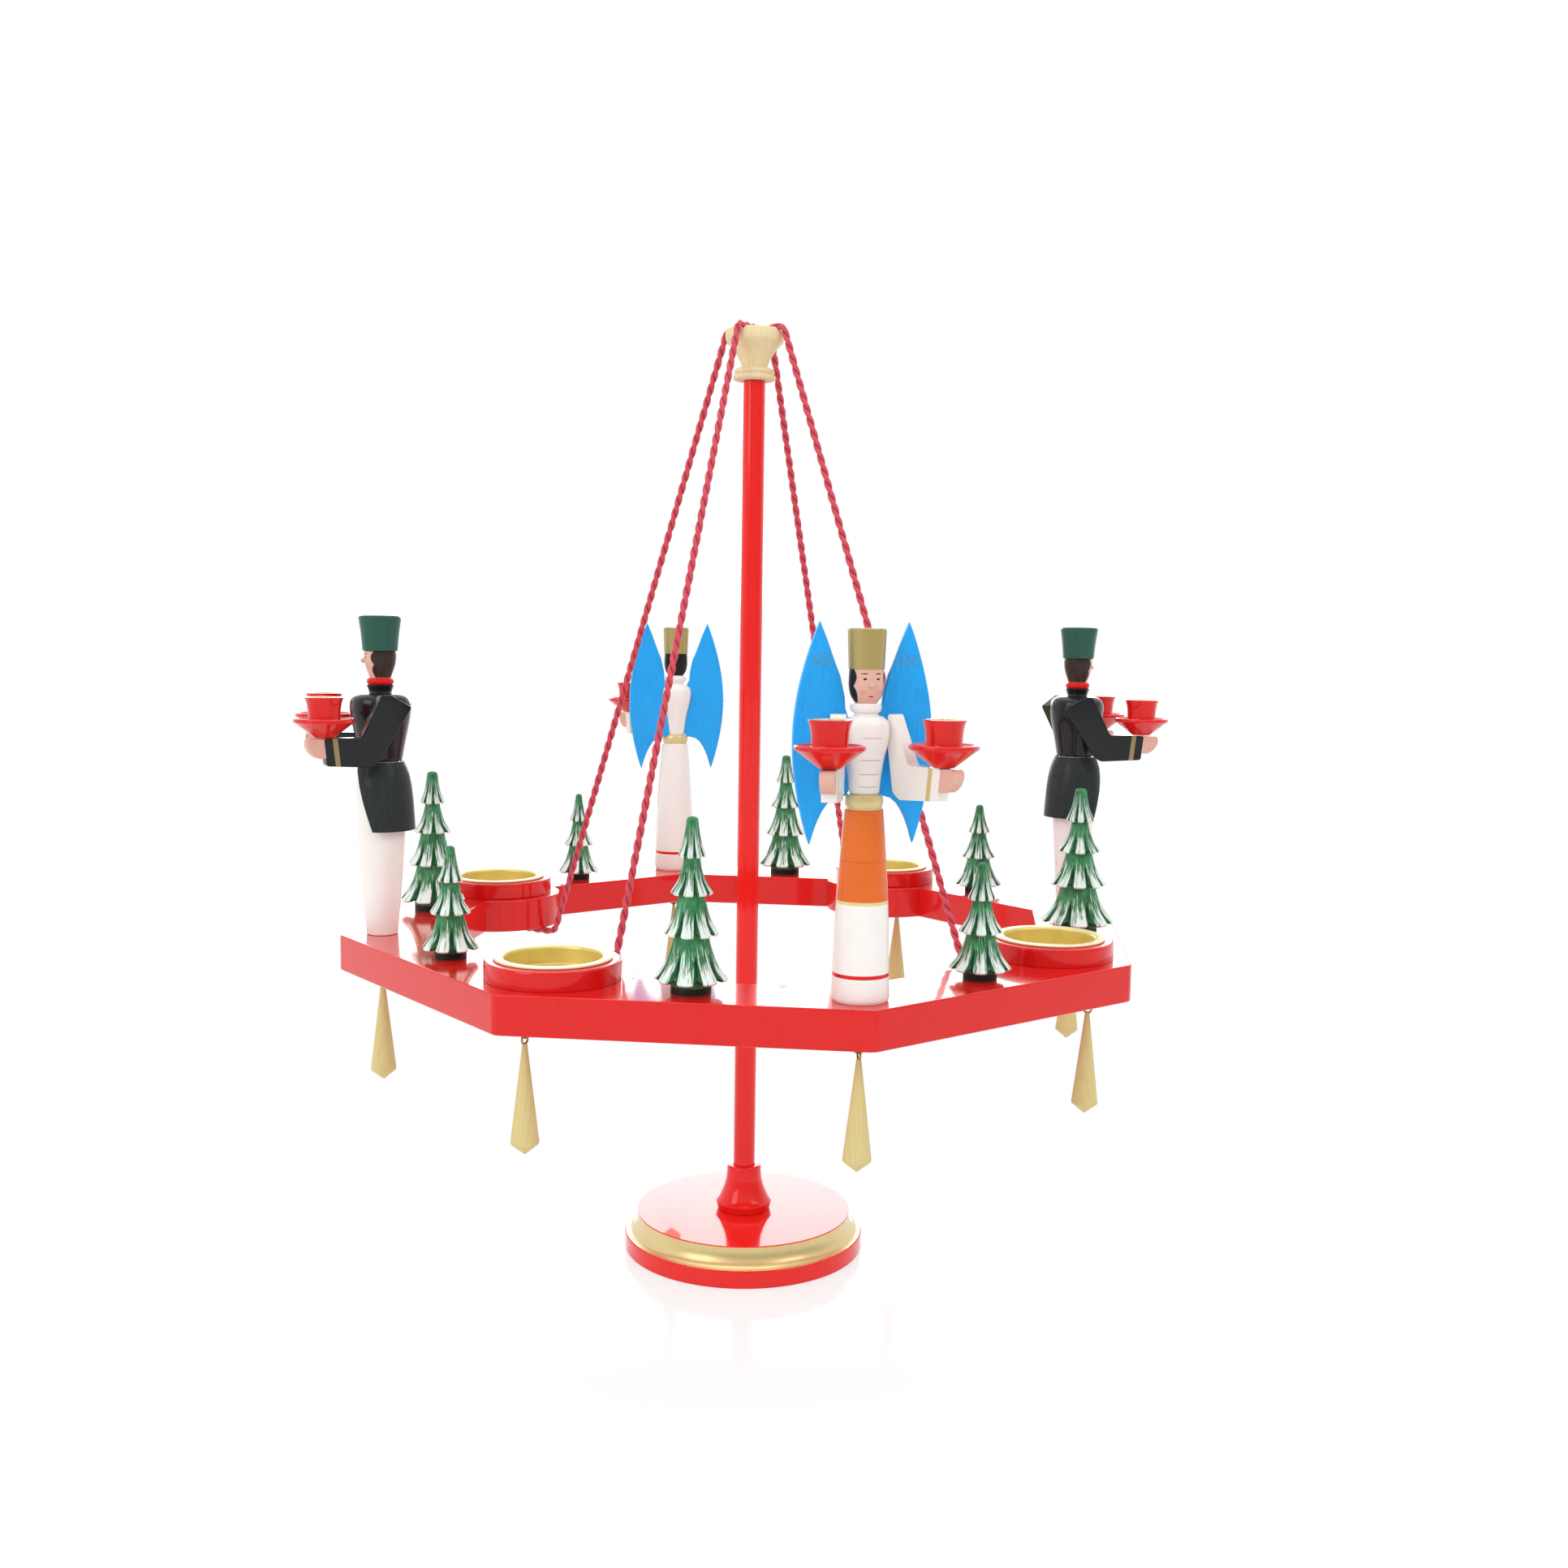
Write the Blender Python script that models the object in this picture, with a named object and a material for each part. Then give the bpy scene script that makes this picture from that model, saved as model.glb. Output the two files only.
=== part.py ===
"""Standing advent wreath: an octagonal board ring hung by two cords from a turned hub on a pole.

Metres, +Z up. The origin is the centre of the base's underside. The front is -Y.
"""

import math

import bmesh
import bpy
from mathutils import Matrix, Vector

# Fits shared by all pieces
SEAT_GAP = 0.0003
CUT_OVERRUN = 0.0060
WIRE_RADIUS = 0.0005
GILT_METAL_SHARE = 0.7

# Turned base: red foot, gilt cove and a thin red lip under the flat top
BASE_RADIUS = 0.0610
BASE_TOP_RADIUS = 0.0545
BASE_FOOT_HEIGHT = 0.0089
BASE_COVE_HEIGHT = 0.0090
BASE_LIP_HEIGHT = 0.0007
BASE_CHAMFER = 0.0005
BASE_FILLET_STEP = 0.0009
BASE_SOCKET_DEPTH = 0.0110
BASE_COVE_STEPS = 5
BASE_HEIGHT = BASE_FOOT_HEIGHT + BASE_COVE_HEIGHT + BASE_LIP_HEIGHT

# Flared collar that steadies the pole on the base
COLLAR_RADIUS = 0.0135
COLLAR_HEIGHT = 0.0222
COLLAR_PROFILE_SHARES = (
    (0.91, 0.00),
    (0.98, 0.05),
    (1.00, 0.16),
    (0.90, 0.32),
    (0.763, 0.50),
    (0.66, 0.67),
    (0.607, 0.88),
    (0.63, 0.94),
    (0.56, 1.00),
)

# Pole: a dowel with a tenon on which the hub turns
POLE_RADIUS = 0.0053
POLE_TENON_RADIUS = 0.0030
POLE_TENON_LENGTH = 0.0120

# Hub that the cords cross
HUB_TOP_LEVEL = 0.4616
HUB_RADIUS = 0.0143
HUB_HEIGHT = 0.0239
HUB_BOTTOM_LEVEL = HUB_TOP_LEVEL - HUB_HEIGHT
HUB_PROFILE_SHARES = (
    (0.64, 0.00),
    (0.73, 0.04),
    (0.73, 0.09),
    (0.67, 0.12),
    (0.70, 0.19),
    (0.56, 0.26),
    (0.44, 0.28),
    (0.50, 0.37),
    (0.64, 0.53),
    (0.79, 0.65),
    (0.99, 0.785),
    (1.00, 0.81),
    (1.00, 0.98),
    (0.97, 1.00),
    (0.74, 1.00),
    (0.70, 0.825),
    (0.00, 0.825),
)
HUB_NOTCH_DEPTH = 0.0007
HUB_NOTCH_STEPS = 6

# Octagonal board ring, corners to the front, the back and both sides
RING_SIDES = 8
RING_CORNER_RADIUS = 0.2000
RING_BOARD_WIDTH = 0.0425
RING_THICKNESS = 0.0168
RING_TOP_LEVEL = 0.1687
RING_CORNER_ROUND = 0.0060
RING_ROUND_STEPS = 3
RING_EDGE_BEVEL = 0.0008
LOBE_RADIUS = 0.0340
LOBE_STEPS = 8
TEALIGHT_INSET = 0.0390
FIGURE_INSET = 0.0200
RING_BOTTOM_LEVEL = RING_TOP_LEVEL - RING_THICKNESS
RING_INNER_CORNER_RADIUS = RING_CORNER_RADIUS - RING_BOARD_WIDTH
TEALIGHT_STATION = RING_CORNER_RADIUS - TEALIGHT_INSET
FIGURE_STATION = RING_CORNER_RADIUS - FIGURE_INSET
HALF_SIDE_ANGLE = math.pi / RING_SIDES
OUTER_APOTHEM = RING_CORNER_RADIUS * math.cos(HALF_SIDE_ANGLE)
INNER_APOTHEM = RING_INNER_CORNER_RADIUS * math.cos(HALF_SIDE_ANGLE)
TREE_STATION = (OUTER_APOTHEM + INNER_APOTHEM) / 2

# Turned holder disc and brass cup for a tealight
HOLDER_RADIUS = 0.0290
HOLDER_HEIGHT = 0.0080
HOLDER_CHAMFER = 0.0009
CUP_INNER_RADIUS = 0.0205
CUP_WALL = 0.0006
CUP_RIM_RADIUS = 0.0250
CUP_RIM_THICKNESS = 0.0009
CUP_OUTER_RADIUS = CUP_INNER_RADIUS + CUP_WALL

# Twisted cords: each runs from a slanting hole under one lobe, over the hub, to the opposite lobe
CORD_RADIUS = 0.0017
CORD_HOLE_CLEARANCE = 0.0009
CORD_HOLE_OFFSET = 0.0133
CORD_HOLE_REACH = 0.0100
CORD_LOBE_STANDOFF = 0.0051
CORD_LOBE_BEND = 0.0050
CORD_HOLE_BEND = 0.0040
CORD_RIM_BEND = 0.0022
CORD_DISH_BEND = 0.0040
CORD_DISH_SHARE = 0.63
CORD_LOWER_DIP = 0.0039
CORD_UPPER_RISE = 0.0006
CORD_STEP = 0.0180
CORD_ARC_STEP = math.radians(18.0)
CORD_RIM_LEVEL = HUB_TOP_LEVEL - HUB_NOTCH_DEPTH + SEAT_GAP + CORD_RADIUS
CORD_UNDER_LEVEL = RING_BOTTOM_LEVEL - SEAT_GAP - CORD_RADIUS
CORD_RIM_REACH = HUB_RADIUS + CORD_RADIUS
LOBE_TIP_RADIUS = TEALIGHT_STATION - LOBE_RADIUS

# Wooden drops hung by wire loops in wire eyes
EYE_RADIUS = 0.0026
EYE_SINK = 0.0001
LOOP_RADIUS = 0.0019
DROP_RADIUS = 0.0060
DROP_LENGTH = 0.0470
DROP_POINT_HEIGHT = 0.0049
DROP_NECK_RADIUS = 0.0009
EYE_CENTRE_LEVEL = RING_BOTTOM_LEVEL - EYE_RADIUS + EYE_SINK
DROP_PIVOT_LEVEL = EYE_CENTRE_LEVEL - EYE_RADIUS
LOOP_CENTRE_DROP = LOOP_RADIUS - 2 * WIRE_RADIUS - SEAT_GAP

# Carved fir trees in two sizes: each tier is (edge radius, edge height, neck radius, neck height)
LARGE_TREE_RADIUS = 0.0168
LARGE_TREE_HEIGHT = 0.0715
LARGE_TREE_TIER_SHARES = (
    (1.00, 0.065, 0.50, 0.300),
    (0.74, 0.325, 0.37, 0.540),
    (0.57, 0.560, 0.22, 0.750),
    (0.38, 0.770, 0.12, 1.000),
)
SMALL_TREE_RADIUS = 0.0135
SMALL_TREE_HEIGHT = 0.0490
SMALL_TREE_TIER_SHARES = (
    (1.00, 0.075, 0.50, 0.375),
    (0.75, 0.400, 0.30, 0.670),
    (0.44, 0.690, 0.12, 1.000),
)
TREE_STUB_RADIUS = 0.0042
TREE_SCALLOPS = 8
TREE_GAP_RADIUS_SHARE = 0.84
TREE_GAP_LIFT_SHARE = 0.10
TREE_MID_RADIUS_SHARE = 0.42
TREE_MID_HEIGHT_SHARE = 0.42
TREE_UNDERCUT_SHARE = 0.16

# Heights on the standing figures, above the feet
WAIST_HEIGHT = 0.0826
TORSO_HEIGHT = 0.0355
ARM_TOP_SHARE = 0.885
HAIR_LINE_SHARE = 0.25

# Miner: turned trousers, carved coat tail, torso, head and shako
TROUSER_RADIUS = 0.0115
TROUSER_PROFILE_SHARES = (
    (0.64, 0.0),
    (0.80, 0.30),
    (0.95, 0.605),
    (1.0, 0.80),
    (0.93, 0.92),
    (0.73, 1.0),
)
COAT_RADIUS = 0.0157
COAT_SHARES = (
    (0.605, 1.00, 73.0),
    (0.80, 0.935, 58.0),
    (0.92, 0.83, 36.0),
    (0.995, 0.67, 14.0),
)
COAT_LINING_GAP = 0.0010
COAT_STEPS = 13
MINER_TORSO_RADIUS = 0.0141
MINER_TORSO_SHARES = (
    (0.70, 0.00),
    (0.82, 0.27),
    (0.96, 0.55),
    (1.00, 0.71),
    (0.93, 0.83),
    (0.50, 0.885),
    (0.37, 0.895),
    (0.455, 1.00),
)
MINER_HEAD_RADIUS = 0.0074
MINER_HEAD_HEIGHT = 0.0154
MINER_COLLAR_SHARE = 0.25
MINER_HEAD_SHARES = (
    (0.72, 0.00),
    (0.82, 0.07),
    (0.72, 0.21),
    (0.64, MINER_COLLAR_SHARE),
    (0.85, 0.46),
    (0.97, 0.72),
    (0.98, 1.00),
)
HAT_RADIUS = 0.0098
HAT_HEIGHT = 0.0163
HAT_SHARES = ((0.81, 0.0), (0.89, 0.45), (1.0, 0.93), (0.95, 0.99), (0.60, 1.0))
NOSE_RADIUS = 0.0011
NOSE_LENGTH = 0.0021
NOSE_HEIGHT_SHARE = 0.72

# Angel: turned gown, torso, head turned in one with its crown, and two flat wings
GOWN_RADIUS = 0.0118
GOWN_SHARES = (
    (1.00, 0.00),
    (0.965, 0.12),
    (0.96, 0.14),
    (0.885, 0.465),
    (0.88, 0.49),
    (0.80, 0.655),
    (0.73, 0.80),
    (0.65, 0.93),
    (0.59, 0.945),
    (0.61, 1.00),
)
RED_LINE_SHARES = (0.12, 0.14)
APRON_HEIGHT_SHARES = (0.49, 0.93)
APRON_HALF_ANGLE = math.radians(96.0)
ANGEL_TORSO_RADIUS = 0.0097
ANGEL_TORSO_SHARES = (
    (0.61, 0.00),
    (0.68, 0.18),
    (0.80, 0.40),
    (0.94, 0.58),
    (1.00, 0.70),
    (0.95, 0.79),
    (0.72, 0.85),
    (0.49, 0.87),
    (0.48, 0.89),
    (0.64, 0.91),
    (0.64, 1.00),
)
ANGEL_HEAD_RADIUS = 0.0077
ANGEL_HEAD_HEIGHT = 0.0131
ANGEL_HEAD_SHARES = (
    (0.60, 0.00),
    (0.78, 0.17),
    (0.89, 0.42),
    (0.91, 0.65),
    (0.89, 0.93),
    (0.92, 1.00),
)
CROWN_HEIGHT = 0.0160
CROWN_SHARES = ((0.92, 0.0), (1.0, 0.93), (0.96, 1.0))

# Wings: the tail hangs below the waist and the tip stands as high over the shoulder
WING_TAIL_DROP = 0.0202
WING_TIP_RISE = 0.0360
WING_THICKNESS = 0.0024
WING_SPAN = 0.0290
WING_BACK_SET = 0.0020
WING_OUTER_STEPS = 11
WING_BOW_POWER = 0.9
WING_TOP_SPAN_SHARE = 0.640
WING_LOW_SPAN_SHARE = 0.745
WING_BULGE_SHARE = 0.305
WING_ROOT_SHARE = 0.10
WING_UPPER_EDGE_SHARES = ((0.535, 0.80), (0.465, 0.65), (0.345, 0.41), (0.280, 0.19), (0.255, -0.03))
WING_LOWER_EDGE_SHARES = ((0.30, 0.06), (0.42, 0.11), (0.57, 0.34), (0.675, 0.68))

# Arms: flat boards that carry a bowl on each hand. Outline points are (reach, height).
ARM_REACH = 0.0285
ARM_HEIGHT = 0.0335
ARM_THICKNESS = 0.0060
ARM_BOWL_REACH_SHARE = 0.965
FOREARM_TOP_SHARE = 0.415
SHOULDER_BACK_SHARES = ((0.22, 1.0), (1.0, 0.82))
ARM_OUTLINE_SHARES = (
    (0.10, 0.085),
    (0.23, 0.0),
    (1.01, 0.04),
    (0.96, FOREARM_TOP_SHARE),
    (0.39, FOREARM_TOP_SHARE),
    (0.06, 1.0),
)
HAND_LENGTH = 0.0085
HAND_HEIGHT = 0.0098
HAND_THICKNESS = 0.0056
HAND_OUTLINE_SHARES = (
    (-0.35, 1.0),
    (-0.35, 0.1),
    (0.30, 0.0),
    (0.78, 0.30),
    (1.00, 0.70),
    (0.90, 1.0),
)
MINER_SHOULDER_OFFSET = 0.0158
MINER_SHOULDER_SETBACK = 0.0008
MINER_SHOULDER_BACK = 0.0138
MINER_ARM_TOE = math.radians(16.9)
ANGEL_SHOULDER_OFFSET = 0.0116
ANGEL_SHOULDER_SETBACK = -0.0012
ANGEL_SHOULDER_BACK = 0.0016
ANGEL_ARM_TOE = math.radians(24.2)

# Bowls: a turned drip dish with a candle cup on it
BOWL_RADIUS = 0.0137
BOWL_HEIGHT = 0.0184
CANDLE_BORE_RADIUS = 0.0066
CANDLE_BORE_DEPTH = 0.0076
BOWL_OUTER_SHARES = (
    (0.32, 0.0),
    (0.95, 0.39),
    (1.00, 0.41),
    (0.99, 0.48),
    (0.55, 0.50),
    (0.52, 0.55),
    (0.625, 1.0),
)

# Facets round each kind of turned piece
BASE_SEGMENTS = 36
TEALIGHT_SEGMENTS = 24
TURNED_SEGMENTS = 18
FIGURE_SEGMENTS = 14
BOWL_SEGMENTS = 12
DROP_SEGMENTS = 10
WIRE_SEGMENTS = 5
WIRE_STEPS = 9

CORNER_NAMES = ("front", "front_right", "right", "back_right", "back", "back_left", "left", "front_left")


def clear_scene():
    for item in list(bpy.data.objects):
        bpy.data.objects.remove(item, do_unlink=True)


def paint(name, colour, roughness, metallic=0.0):
    """Make one Principled material from an sRGB colour given in 0 to 255."""
    material = bpy.data.materials.new(name)
    material.use_nodes = True
    shader = material.node_tree.nodes["Principled BSDF"]
    linear = [(channel / 255.0) ** 2.2 for channel in colour]
    shader.inputs["Base Color"].default_value = (*linear, 1.0)
    shader.inputs["Roughness"].default_value = roughness
    shader.inputs["Metallic"].default_value = metallic
    material.diffuse_color = (*linear, 1.0)
    return material


def mesh_from(bm, name):
    """Merge doubles, point the faces outwards and hand the bmesh over as a mesh."""
    bmesh.ops.remove_doubles(bm, verts=bm.verts, dist=SEAT_GAP / 100)
    bmesh.ops.recalc_face_normals(bm, faces=bm.faces)
    mesh = bpy.data.meshes.new(name)
    bm.to_mesh(mesh)
    bm.free()
    return mesh


def turned(name, profile, segments, closed=False):
    """Spin a profile of (radius, height) points round Z; a closed profile stays off the axis."""
    bm = bmesh.new()
    verts = [bm.verts.new((radius, 0, height)) for radius, height in profile]
    edges = [bm.edges.new(pair) for pair in zip(verts, verts[1:])]
    if closed:
        edges.append(bm.edges.new((verts[-1], verts[0])))
    bmesh.ops.spin(
        bm,
        geom=verts + edges,
        cent=(0, 0, 0),
        axis=(0, 0, 1),
        angle=math.tau,
        steps=segments,
        use_merge=True,
    )
    return mesh_from(bm, name)


def lofted(name, rings):
    """Join rings of equally many points into one closed body with flat ends."""
    bm = bmesh.new()
    loops = [[bm.verts.new(point) for point in ring] for ring in rings]
    for low, high in zip(loops, loops[1:]):
        for i in range(len(low)):
            j = (i + 1) % len(low)
            bm.faces.new((low[i], low[j], high[j], high[i]))
    bm.faces.new(loops[0])
    bm.faces.new(loops[-1])
    return mesh_from(bm, name)


def prism(name, outline, low, high):
    """Extrude a flat outline of (x, y) points from one height to another."""
    return lofted(name, [[(x, y, z) for x, y in outline] for z in (low, high)])


def upright_board(name, outline, near, far):
    """Extrude an outline of (x, z) points along Y from near to far."""
    return lofted(name, [[(x, y, z) for x, z in outline] for y in (near, far)])


def wire_ring(name, radius, centre, normal_axis):
    """A closed ring of wire round the X or the Y axis through its centre."""
    bm = bmesh.new()
    section = []
    for i in range(WIRE_SEGMENTS):
        angle = math.tau * i / WIRE_SEGMENTS
        across = WIRE_RADIUS * math.sin(angle)
        reach = radius + WIRE_RADIUS * math.cos(angle)
        section.append(bm.verts.new((across, 0, reach) if normal_axis == "X" else (0, across, reach)))
    edges = [bm.edges.new((section[i - 1], section[i])) for i in range(WIRE_SEGMENTS)]
    axis = (1, 0, 0) if normal_axis == "X" else (0, 1, 0)
    bmesh.ops.spin(
        bm,
        geom=section + edges,
        cent=(0, 0, 0),
        axis=axis,
        angle=math.tau,
        steps=WIRE_STEPS,
        use_merge=True,
    )
    bmesh.ops.translate(bm, verts=bm.verts, vec=centre)
    return mesh_from(bm, name)


def placed_copy(mesh, matrix):
    """A copy of a mesh with a placement applied to its points."""
    copy = mesh.copy()
    copy.transform(matrix)
    return copy


def combine(mesh, tools, operation):
    """Join a mesh with tool meshes, or cut it by them, one after the other."""
    for tool in tools:
        body = bpy.data.objects.new("combine_body", mesh)
        other = bpy.data.objects.new("combine_tool", tool)
        other.hide_render = True
        other.display_type = "WIRE"
        for item in (body, other):
            bpy.context.scene.collection.objects.link(item)
        cut = body.modifiers.new("combine", "BOOLEAN")
        cut.operation = operation
        cut.solver = "EXACT"
        cut.object = other
        depsgraph = bpy.context.evaluated_depsgraph_get()
        mesh = bpy.data.meshes.new_from_object(body.evaluated_get(depsgraph))
        for item in (body, other):
            bpy.data.objects.remove(item, do_unlink=True)
    return mesh


def add_piece(name, mesh, materials, matrix=None, smooth=True):
    """Link a named object with its mesh, materials and placement."""
    piece = bpy.data.objects.new(name, mesh)
    bpy.context.scene.collection.objects.link(piece)
    for material in materials:
        if material.name not in mesh.materials:
            mesh.materials.append(material)
    if matrix is not None:
        piece.matrix_world = matrix
    if smooth:
        mesh.shade_smooth()
        mesh.set_sharp_from_angle(angle=math.radians(35.0))
    return piece


def station(angle, radius, level):
    """Placement on the ring: local -Y looks outwards, the angle runs from the front to the right."""
    turn = Matrix.Rotation(angle, 4, "Z")
    return turn @ Matrix.Translation((0, -radius, level))


def scaled(shares, radius, height):
    """Turn a table of shares into (radius, height) points."""
    return [(radius * across, height * up) for across, up in shares]


def paint_faces(mesh, slot, test):
    """Give a material slot to each face whose centre passes a test."""
    for face in mesh.polygons:
        if test(face.center):
            face.material_index = slot


def build_stand(paints):
    """Base, collar and pole."""
    foot_top = BASE_FOOT_HEIGHT
    cove_start = BASE_RADIUS - BASE_FILLET_STEP
    profile = [
        (0, 0),
        (BASE_RADIUS - BASE_CHAMFER, 0),
        (BASE_RADIUS, BASE_CHAMFER),
        (BASE_RADIUS, foot_top - BASE_CHAMFER),
        (BASE_RADIUS - BASE_CHAMFER, foot_top),
    ]
    for i in range(BASE_COVE_STEPS + 1):
        angle = math.pi / 2 * i / BASE_COVE_STEPS
        radius = cove_start - (cove_start - BASE_TOP_RADIUS) * math.sin(angle)
        profile.append((radius, foot_top + BASE_COVE_HEIGHT * (1 - math.cos(angle))))
    socket_radius = POLE_RADIUS + SEAT_GAP
    socket_floor = BASE_HEIGHT - BASE_SOCKET_DEPTH
    profile += [
        (BASE_TOP_RADIUS, BASE_HEIGHT),
        (socket_radius, BASE_HEIGHT),
        (socket_radius, socket_floor),
        (0, socket_floor),
    ]
    base = turned("base_foot", profile, BASE_SEGMENTS)
    cove_low = foot_top - BASE_CHAMFER / 2
    cove_high = foot_top + BASE_COVE_HEIGHT
    paint_faces(base, 1, lambda c: cove_low < c.z < cove_high and math.hypot(c.x, c.y) > BASE_RADIUS / 2)
    add_piece("base_foot", base, [paints["red"], paints["gilt"]])

    collar_base = BASE_HEIGHT + SEAT_GAP
    outer = scaled(COLLAR_PROFILE_SHARES, COLLAR_RADIUS, COLLAR_HEIGHT)
    bore = [(socket_radius, COLLAR_HEIGHT), (socket_radius, 0)]
    collar = turned("pole_collar", outer + bore, TURNED_SEGMENTS, closed=True)
    add_piece("pole_collar", collar, [paints["red"]], Matrix.Translation((0, 0, collar_base)))

    pole_foot = socket_floor + SEAT_GAP
    shoulder = HUB_BOTTOM_LEVEL - SEAT_GAP
    pole_profile = [
        (0, pole_foot),
        (POLE_RADIUS, pole_foot),
        (POLE_RADIUS, shoulder),
        (POLE_TENON_RADIUS, shoulder),
        (POLE_TENON_RADIUS, shoulder + POLE_TENON_LENGTH),
        (0, shoulder + POLE_TENON_LENGTH),
    ]
    add_piece("pole", turned("pole", pole_profile, TURNED_SEGMENTS), [paints["red"]])


def build_hub(paints):
    """Turned hub with a dish on top, four notches for the cords and a bore for the pole's tenon."""
    bore_radius = POLE_TENON_RADIUS + SEAT_GAP
    bore_top = POLE_TENON_LENGTH + SEAT_GAP
    profile = [(0, bore_top), (bore_radius, bore_top), (bore_radius, 0)]
    profile += scaled(HUB_PROFILE_SHARES, HUB_RADIUS, HUB_HEIGHT)
    hub = turned("hub", profile, TURNED_SEGMENTS)
    groove_radius = CORD_RADIUS + SEAT_GAP
    centre = CORD_RIM_LEVEL - HUB_BOTTOM_LEVEL
    outline = [(groove_radius, centre + CUT_OVERRUN), (-groove_radius, centre + CUT_OVERRUN)]
    for i in range(HUB_NOTCH_STEPS + 1):
        turn = math.pi * (1 + i / HUB_NOTCH_STEPS)
        outline.append((groove_radius * math.cos(turn), centre + groove_radius * math.sin(turn)))
    reach = HUB_RADIUS + CUT_OVERRUN
    groove = upright_board("cord_groove", outline, -reach, reach)
    grooves = [placed_copy(groove, Matrix.Rotation(side * math.pi / 4, 4, "Z")) for side in (1, -1)]
    hub = combine(hub, grooves, "DIFFERENCE")
    add_piece("hub", hub, [paints["wood"]], Matrix.Translation((0, 0, HUB_BOTTOM_LEVEL)))


def polar(radius, angle):
    """A point at an angle that runs from the front, -Y, to the right."""
    return (radius * math.sin(angle), -radius * math.cos(angle))


def ring_outer_outline():
    """Octagon with rounded corners, given as arcs between the sides."""
    points = []
    centre_radius = RING_CORNER_RADIUS - RING_CORNER_ROUND / math.cos(HALF_SIDE_ANGLE)
    for corner in range(RING_SIDES):
        angle = 2 * HALF_SIDE_ANGLE * corner
        centre = Vector(polar(centre_radius, angle))
        for i in range(RING_ROUND_STEPS + 1):
            swing = HALF_SIDE_ANGLE * (2 * i / RING_ROUND_STEPS - 1)
            point = centre + Vector(polar(RING_CORNER_ROUND, angle + swing))
            points.append((point.x, point.y))
    return points


def ring_inner_outline():
    """Octagon whose corners at the tealights give way to the round lobes of the board."""
    reach = TEALIGHT_STATION * math.cos(HALF_SIDE_ANGLE) - INNER_APOTHEM
    lobe_swing = math.acos(reach / LOBE_RADIUS) - HALF_SIDE_ANGLE
    points = []
    for corner in range(RING_SIDES):
        angle = 2 * HALF_SIDE_ANGLE * corner
        if corner % 2 == 0:
            points.append(polar(RING_INNER_CORNER_RADIUS, angle))
            continue
        centre = Vector(polar(TEALIGHT_STATION, angle))
        for i in range(LOBE_STEPS + 1):
            swing = lobe_swing * (1 - 2 * i / LOBE_STEPS)
            point = centre + Vector(polar(LOBE_RADIUS, angle + math.pi + swing))
            points.append((point.x, point.y))
    return points


def cord_hole_ends():
    """Where a cord turns up under the board and where it ends, as distance from the axis and height."""
    turn = Vector((LOBE_TIP_RADIUS + CORD_HOLE_OFFSET, CORD_UNDER_LEVEL))
    slant = CORD_HOLE_REACH / math.sqrt(2)
    return turn, turn + Vector((slant, slant))


def cord_hole_tool(angle):
    """Slanting blind hole in which a cord's end is glued."""
    turn, end = (Vector((0, -reach, level)) for reach, level in cord_hole_ends())
    along = (end - turn).normalized()
    radius = CORD_RADIUS + CORD_HOLE_CLEARANCE
    length = (end - turn).length + SEAT_GAP
    tool = turned("cord_hole", [(0, 0), (radius, 0), (radius, length), (0, length)], DROP_SEGMENTS)
    lean = along.to_track_quat("Z", "Y").to_matrix().to_4x4()
    return placed_copy(tool, Matrix.Rotation(angle, 4, "Z") @ Matrix.Translation(turn) @ lean)


def build_ring(paints):
    """Board ring with its lobes, the cord holes and eight wire eyes set in its underside."""
    board = prism("octagon_ring", ring_outer_outline(), RING_BOTTOM_LEVEL, RING_TOP_LEVEL)
    opening = prism(
        "ring_opening",
        ring_inner_outline(),
        RING_BOTTOM_LEVEL - CUT_OVERRUN,
        RING_TOP_LEVEL + CUT_OVERRUN,
    )
    board = combine(board, [opening], "DIFFERENCE")
    bm = bmesh.new()
    bm.from_mesh(board)
    rims = [edge for edge in bm.edges if edge.is_manifold and edge.calc_face_angle() > math.radians(80.0)]
    rims = [edge for edge in rims if abs(edge.verts[0].co.z - edge.verts[1].co.z) < SEAT_GAP]
    bmesh.ops.bevel(
        bm,
        geom=rims,
        offset=RING_EDGE_BEVEL,
        offset_type="OFFSET",
        segments=1,
        profile=0.5,
        affect="EDGES",
        material=-1,
    )
    board = mesh_from(bm, "octagon_ring")
    corner_angles = [2 * HALF_SIDE_ANGLE * corner for corner in range(RING_SIDES)]
    board = combine(board, [cord_hole_tool(angle) for angle in corner_angles[1::2]], "DIFFERENCE")
    eyes = []
    for angle in corner_angles:
        eye = wire_ring("wire_eye", EYE_RADIUS, (0, 0, 0), "Y")
        eyes.append(placed_copy(eye, station(angle, FIGURE_STATION, EYE_CENTRE_LEVEL)))
    board = combine(board, eyes, "UNION")
    add_piece("octagon_ring", board, [paints["red"]])


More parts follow.
